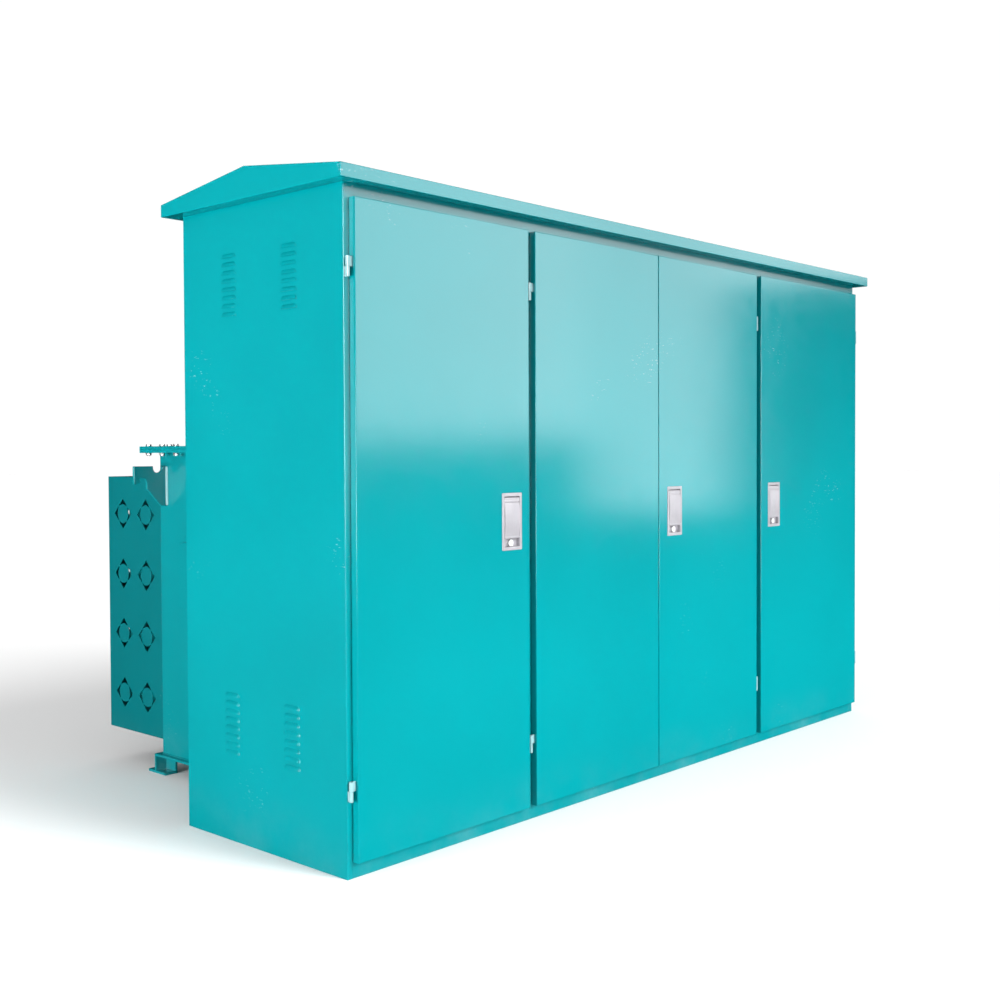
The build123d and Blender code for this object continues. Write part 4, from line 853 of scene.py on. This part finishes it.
# ---- Low-voltage bushings and busbars ----
# Glazed porcelain insulators with a threaded brass stud. Each stud clamps a flat copper bar
# between two nuts, and the bars rise to the breaker's terminals.
porcelain = moulded("glazed_porcelain", (0.74, 0.71, 0.63), 0.12, 60.0, 0.00002)
lv_outline = [
    (0.0, 0.0), (0.040, 0.0), (0.042, 0.002), (0.042, 0.011), (0.039, 0.014), (0.030, 0.014),
    (0.030, 0.024), (0.039, 0.031), (0.039, 0.035), (0.029, 0.041), (0.029, 0.048), (0.037, 0.055),
    (0.037, 0.059), (0.027, 0.065), (0.026, 0.073), (0.0, 0.073),
]
thread_outline = [(0.0, 0.073)]
for ring in range(20):
    along = 0.074 + ring * 0.003
    thread_outline += [(0.0150, along), (0.0138, along + 0.0015)]
thread_outline += [(0.0130, 0.134), (0.0, 0.134)]
insulators, studs, nuts = [], [], []
for low, high in pieces_of("lv_bushings"):
    middle = Vector(((low.x + high.x) / 2, shell_low.y, (low.z + high.z) / 2))
    insulators.append(turned("lv_insulator", lv_outline, middle, out))
    studs.append(turned("lv_stud", thread_outline, middle, out, 20))
    nuts.append(bolt_head("lv_nut", 0.024, 0.012, middle + Vector((0, -0.0845, 0))))
    nuts.append(bolt_head("lv_lock_nut", 0.024, 0.008, middle + Vector((0, -0.0980, 0))))
    first = bolt_head("lv_flange_bolt", 0.005, 0.004, middle + Vector((0, -0.014, 0.036)))
    flange_bolts += round_of(first, 4, middle)
fit(join("lv_insulators", insulators), porcelain, ["lv_bushings"])
fit(join("lv_threaded_studs", [*studs, *nuts]), brass)
dressed("lv_busbars", "copper_bars", 0.0012, copper)

# ---- Fuse holders ----
# Draw-out fuse holders of grey moulded plastic over the high-voltage bushings, with a ribbed
# body, a flange with four bolts and a pull eye on the cap.
grey_plastic = moulded("grey_moulding", (0.36, 0.37, 0.38), 0.42, 500.0, 0.00006, bloom=0.10)
black_plastic = moulded("black_moulding", (0.022, 0.022, 0.024), 0.38, 600.0, 0.00006, bloom=0.10)
fuse_outline = [(0.0, 0.0), (0.048, 0.0), (0.050, 0.002), (0.050, 0.011), (0.047, 0.014), (0.032, 0.014)]
for rib in range(5):
    along = 0.024 + rib * 0.021
    fuse_outline += [(0.030, along), (0.030, along + 0.006), (0.032, along + 0.008), (0.032, along + 0.019)]
fuse_outline += [(0.032, 0.146), (0.029, 0.150), (0.0165, 0.151), (0.016, 0.172), (0.013, 0.176),
                 (0.0, 0.177)]
eye_radius = 0.013
eye_wire = 0.0022
holders, eyes = [], []
for low, high in pieces_of("fuse_holders"):
    middle = Vector(((low.x + high.x) / 2, shell_low.y, (low.z + high.z) / 2))
    holders.append(turned("fuse_body", fuse_outline, middle, out))
    eye = start("torus", "pull_eye", major_radius=eye_radius, minor_radius=eye_wire, major_segments=24,
                minor_segments=8)
    eyes.append(placed(eye, middle + Vector((0, -0.1775, -0.011)), math.pi / 2, "X"))
    first = bolt_head("fuse_flange_bolt", 0.006, 0.005, middle + Vector((0, -0.014, 0.041)))
    flange_bolts += round_of(first, 4, middle)
fit(join("fuse_bodies", holders), grey_plastic, ["fuse_holders"])
fit(join("fuse_pull_eyes", eyes), zinc)
fit(join("front_wall_flange_bolts", flange_bolts), zinc)

# ---- Gauges and relief valve ----
# Three round oil gauges in pressed steel cases, each with a white dial, tick marks and a red
# pointer behind its rim, and a spring relief valve lower down.
steel = metal("plain_steel", (0.46, 0.46, 0.48), 0.36, (1.0, 1.0, 0.2), 300.0, 0.00003, 0.3,
              (0.22, 0.20, 0.19))
dial_white = moulded("dial_enamel", (0.83, 0.83, 0.80), 0.30, 300.0, 0.00001)
pointer_red = moulded("pointer_lacquer", (0.62, 0.03, 0.02), 0.30, 300.0, 0.00001)
case_outline = [
    (0.0, 0.0), (0.030, 0.0), (0.030, 0.014), (0.044, 0.018), (0.048, 0.022), (0.050, 0.026),
    (0.050, 0.046), (0.0485, 0.049), (0.046, 0.050), (0.0445, 0.048), (0.0440, 0.043), (0.0, 0.043),
]
relief_outline = [
    (0.0, 0.0), (0.022, 0.0), (0.022, 0.010), (0.017, 0.013), (0.017, 0.020), (0.021, 0.023),
    (0.021, 0.050), (0.018, 0.060), (0.014, 0.061), (0.014, 0.073), (0.011, 0.075), (0.0, 0.075),
]
dial_outline = [(0.0, 0.0430), (0.0438, 0.0430), (0.0436, 0.0436), (0.0, 0.0437)]
hub_outline = [(0.0, 0.0436), (0.0045, 0.0436), (0.0045, 0.0458), (0.003, 0.0466), (0.0, 0.0466)]
tick_count = 11
sweep = math.radians(240)
cases, dials, ticks, pointers = [], [], [], []
for low, high in pieces_of("tank_gauges"):
    middle = Vector(((low.x + high.x) / 2, shell_low.y, (low.z + high.z) / 2))
    if high.x - low.x < 0.06:
        cases.append(turned("relief_valve", relief_outline, middle, out))
        continue
    cases.append(turned("gauge_case", case_outline, middle, out, 40))
    dials.append(turned("gauge_dial", dial_outline, middle, out, 40))
    for tick in range(tick_count):
        long = 0.007 if tick % 5 == 0 else 0.004
        mark = slab("tick", (-0.0005, -0.0441, 0.040 - long), (0.0005, -0.0435, 0.040))
        ticks.append(placed(mark, middle, sweep * (tick / (tick_count - 1) - 0.5), "Y"))
    hand = slab("pointer", (-0.0009, -0.0452, -0.010), (0.0009, -0.0445, 0.034))
    work_on(hand)
    pick(hand, "VERT", lambda place, normal: place.z > 0.0)
    resize((0.25, 1, 1))
    done()
    pointers.append(placed(hand, middle, 0.6 + 0.5 * len(pointers), "Y"))
    ticks.append(turned("pointer_hub", hub_outline, middle, out, 16))
fit(join("gauge_cases", cases), steel, ["tank_gauges"])
fit(join("gauge_dials", dials), dial_white)
fit(join("gauge_ticks", ticks), black_plastic)
fit(join("gauge_pointers", pointers), pointer_red)

# ---- Switch handle, tap changer and drain valve ----
# The switch has a moulded handle with an eye at each end for a hook stick, and the tap changer a
# round knob. The drain valve is machined brass, with a painted handwheel on its stem.
wheel_coat = powder_coat("handwheel_enamel", (0.42, 0.03, 0.02), gloss=0.30, scuffs=0.8)
for node, name, edge, body in (
    ("loadbreak_handle", "switch_handle_bar", 0.0020, "switch_handle"),
    ("tap_changer_knob", "tap_knob_moulding", 0.0015, "tap_knob"),
):
    dressed(node, name, edge, black_plastic, body, segments=3)
dressed("drain_valve", "drain_valve_body", 0.0012, brass)
dressed("drain_valve_wheel", "drain_handwheel", 0.0, wheel_coat, "drain_wheel")

# ---- Breaker ----
# A moulded-case breaker bolted to the back sheet: a grey housing with terminal shrouds at the top
# and bottom, cover screws, and a black rocker in the slot in its raised face.
dressed("lv_breaker", "breaker_housing", 0.0040, grey_plastic, segments=3)
dressed("breaker_toggle", "breaker_rocker", 0.0016, black_plastic,
        "breaker_toggle", segments=3)
breaker_low, breaker_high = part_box("lv_breaker")
shroud_count = 4
shroud_margin = 0.02
shroud_gap = 0.005
shroud_width = (breaker_high.x - breaker_low.x - 2 * shroud_margin) / shroud_count
face = breaker_low.y + 0.012
shrouds = []
for bottom, top in ((breaker_low.z + 0.006, breaker_low.z + 0.050),
                    (breaker_high.z - 0.050, breaker_high.z - 0.006)):
    for count in range(shroud_count):
        left = breaker_low.x + shroud_margin + count * shroud_width
        shroud = slab("terminal_shroud", (left + shroud_gap, face - 0.007, bottom),
                      (left + shroud_width - shroud_gap, face + 0.004, top))
        shrouds.append(ease(shroud, 0.0015, 2))
fit(join("breaker_shrouds", shrouds), black_plastic)


def screw(name, radius, place):
    """A domed screw with a cross recess, facing the front."""
    dome = ((0.0, 0.0), (1.0, 0.0), (0.96, 0.28), (0.75, 0.45), (0.0, 0.5))
    piece = turned(name, [(radius * wide, radius * tall) for wide, tall in dome], place, out, 16)
    for wide, tall in ((0.6, 0.09), (0.09, 0.6)):
        tool = slab("recess", place + Vector((-radius * wide, -radius * 0.7, -radius * tall)),
                    place + Vector((radius * wide, -radius * 0.2, radius * tall)))
        cut_out(piece, tool)
    return piece


screws = []
for x in (breaker_low.x + 0.044, breaker_high.x - 0.044):
    for z in (breaker_low.z + 0.076, breaker_high.z - 0.076):
        screws.append(screw("cover_screw", 0.006, Vector((x, breaker_low.y, z))))
fit(join("breaker_screws", screws), zinc)

# ---- Control panel ----
# A folded tray with a meter behind a clear window, a relay with push buttons, and a row of
# clamping terminals with two screws each.
dressed("control_panel", "control_tray", 0.0025, grey_plastic, segments=3)
window_dark = moulded("window_smoke", (0.012, 0.016, 0.018), 0.06, 40.0, 0.00001)
button_green = moulded("button_green", (0.02, 0.30, 0.06), 0.30, 300.0, 0.00002)
sizes = sorted(pieces_of("control_panel"), key=lambda pair: (pair[1] - pair[0]).length)
strip, meter, relay = sizes[0], sizes[1], sizes[2]
if strip[1].z - strip[0].z > 0.06:
    strip, meter, relay = sorted(sizes[:3], key=lambda pair: pair[1].z - pair[0].z)
relay, meter = sorted((meter, relay), key=lambda pair: pair[1].z - pair[0].z)
windows = []
for (low, high), margin, share in ((meter, 0.022, 0.5), (relay, 0.020, 0.42)):
    pane = slab("window", (low.x + margin, low.y - 0.002, high.z - margin - share * (high.z - low.z)),
                (high.x - margin, low.y + 0.003, high.z - margin))
    windows.append(ease(pane, 0.0012, 2))
fit(join("instrument_windows", windows), window_dark)
button_outline = [
    (0.0, 0.0), (0.0085, 0.0), (0.0085, 0.002), (0.0065, 0.0025), (0.0062, 0.006), (0.0050, 0.007),
    (0.0, 0.0072),
]
buttons = []
for (low, high), count in ((meter, 3), (relay, 5)):
    for step in range(count):
        x = low.x + (high.x - low.x) * (step + 1) / (count + 1)
        place = Vector((x, low.y, low.z + (high.z - low.z) * 0.22))
        buttons.append(turned("push_button", button_outline, place, out, 20))
fit(join("instrument_buttons", buttons), button_green)
low, high = strip
terminal_pitch = 0.0125
terminal_width = terminal_pitch * 0.82
terminal_dome = [(0.0, 0.0), (0.0034, 0.0), (0.0032, 0.0010), (0.0022, 0.0016), (0.0, 0.0017)]
terminals = []
heads = []
for step in range(int((high.x - low.x - 0.01) / terminal_pitch)):
    x = low.x + 0.006 + step * terminal_pitch
    block = slab("terminal", (x, low.y - 0.006, low.z + 0.006),
                 (x + terminal_width, low.y + 0.004, high.z - 0.006))
    terminals.append(ease(block, 0.0008, 1))
    for z in (low.z + 0.014, high.z - 0.014):
        place = Vector((x + terminal_width / 2, low.y - 0.006, z))
        heads.append(turned("terminal_screw", terminal_dome, place, out, 10))
fit(join("terminal_blocks", terminals), black_plastic)
fit(join("terminal_screws", heads), zinc)

# ---- Floor, light and camera ----
# A plain pale floor and a white backdrop under soft studio light: a wide soft sun from the front,
# low fills on both sides in view, and soft boxes that only show as reflections in the glossy coat.
floor = start("plane", "floor", size=160)
backdrop = start("uv_sphere", "backdrop", segments=48, ring_count=24, radius=78)
pale, tree, shader, place = new_finish("pale_floor")
base = shades(tree, blotches(tree, place, 0.4), (0.86, 0.86, 0.86), (0.90, 0.90, 0.90))
feed(tree, shader, [("Base Color", base), ("Roughness", 0.9), ("Specular IOR Level", 0.1)])
floor.data.materials.append(pale)
floor.visible_glossy = False
white, tree, shader, place = new_finish("white_backdrop")
feed(tree, shader, [("Base Color", (0, 0, 0, 1)), ("Specular IOR Level", 0.0),
                    ("Emission Color", (1, 1, 1, 1)), ("Emission Strength", 1.02)])
backdrop.data.materials.append(white)
backdrop.visible_diffuse = False
backdrop.visible_glossy = False
backdrop.visible_shadow = False

world = bpy.data.worlds.new("studio")
scene.world = world
world.use_nodes = True
world.node_tree.nodes["Background"].inputs["Color"].default_value = (1, 1, 1, 1)
world.node_tree.nodes["Background"].inputs["Strength"].default_value = 0.68
world.cycles_visibility.glossy = False


def light_from(name, kind, place, aim, power, size=None, diffuse=True, glossy=True, spread=180.0):
    """A lamp that points at a place, out of the camera's sight."""
    lamp = bpy.data.lights.new(name, kind)
    lamp.energy = power
    if kind == "AREA":
        lamp.shape = "RECTANGLE"
        lamp.size, lamp.size_y = size
        lamp.spread = math.radians(spread)
    else:
        lamp.angle = math.radians(size)
    holder = bpy.data.objects.new(name, lamp)
    holder.location = place
    holder.rotation_euler = (Vector(aim) - Vector(place)).to_track_quat("-Z", "Y").to_euler()
    holder.visible_camera = False
    holder.visible_diffuse = diffuse
    holder.visible_glossy = glossy
    scene.collection.objects.link(holder)


light_from("soft_sun", "SUN", (2.4, -8, 4.9), (0, 0, 0), 3.3, size=24, glossy=False)
light_from("front_fill", "AREA", (0.3, -4.6, 0.45), (0.2, -0.9, 0.35), 24, (5.0, 0.5), glossy=False,
           spread=50)
light_from("side_fill", "AREA", (-6.5, -0.6, 0.9), (-1.56, -0.5, 0.8), 350, (2.5, 1.4), glossy=False)
box_distance = 12.0
box_base = 1.2
box_top = 30.0
sky_boxes = ((40, 60, 1.0, 5.0), (31, 40, -3.5, 3.6), (16, 31, 10.5, 4.0))
for count, (first, last, bottom, glow) in enumerate(sky_boxes):
    around = math.radians((first + last) / 2)
    wide = 2 * box_distance * math.tan(math.radians(last - first) / 2)
    low_edge = box_base + box_distance * math.tan(math.radians(bottom))
    high_edge = box_base + box_distance * math.tan(math.radians(box_top))
    middle_z = (low_edge + high_edge) / 2
    place = (box_distance * math.cos(around), -0.9 - box_distance * math.sin(around), middle_z)
    tall = high_edge - low_edge
    power = glow * math.pi * wide * tall
    light_from(f"sky_box_{count}", "AREA", place, (0, -0.9, middle_z), power, (wide, tall), diffuse=False)
light_from("back_sky_box", "AREA", (-9.0, 4.0, 5.0), (0, 0, 1.2), 8, (14.0, 8.0), diffuse=False)
light_from("corner_box", "AREA", (-8.2, -7.2, 2.6), (-1.5, -0.9, 1.2), 1600, (5.0, 4.0), diffuse=False)

scene.view_settings.view_transform = "Standard"
eye = Vector((-3.88746, -3.61277, 1.22861))
heading = math.radians(47.72)
pitch = math.radians(1.34)
roll = math.radians(0.24)
forward = Vector((math.sin(heading) * math.cos(pitch), math.cos(heading) * math.cos(pitch),
                  -math.sin(pitch)))
level = Vector((math.cos(heading), -math.sin(heading), 0))
down = forward.cross(level)
right = math.cos(roll) * level + math.sin(roll) * down
under = math.cos(roll) * down - math.sin(roll) * level
camera_data = bpy.data.cameras.new("camera")
camera = bpy.data.objects.new("camera", camera_data)
scene.collection.objects.link(camera)
camera_data.sensor_width = 36.0
camera_data.lens = 44.81
camera_data.shift_x = -0.0009
camera_data.shift_y = -0.0185
camera_data.clip_end = 500.0
rows = [(right[i], -under[i], -forward[i], eye[i]) for i in range(3)]
camera.matrix_world = Matrix([*rows, (0, 0, 0, 1)])
scene.camera = camera
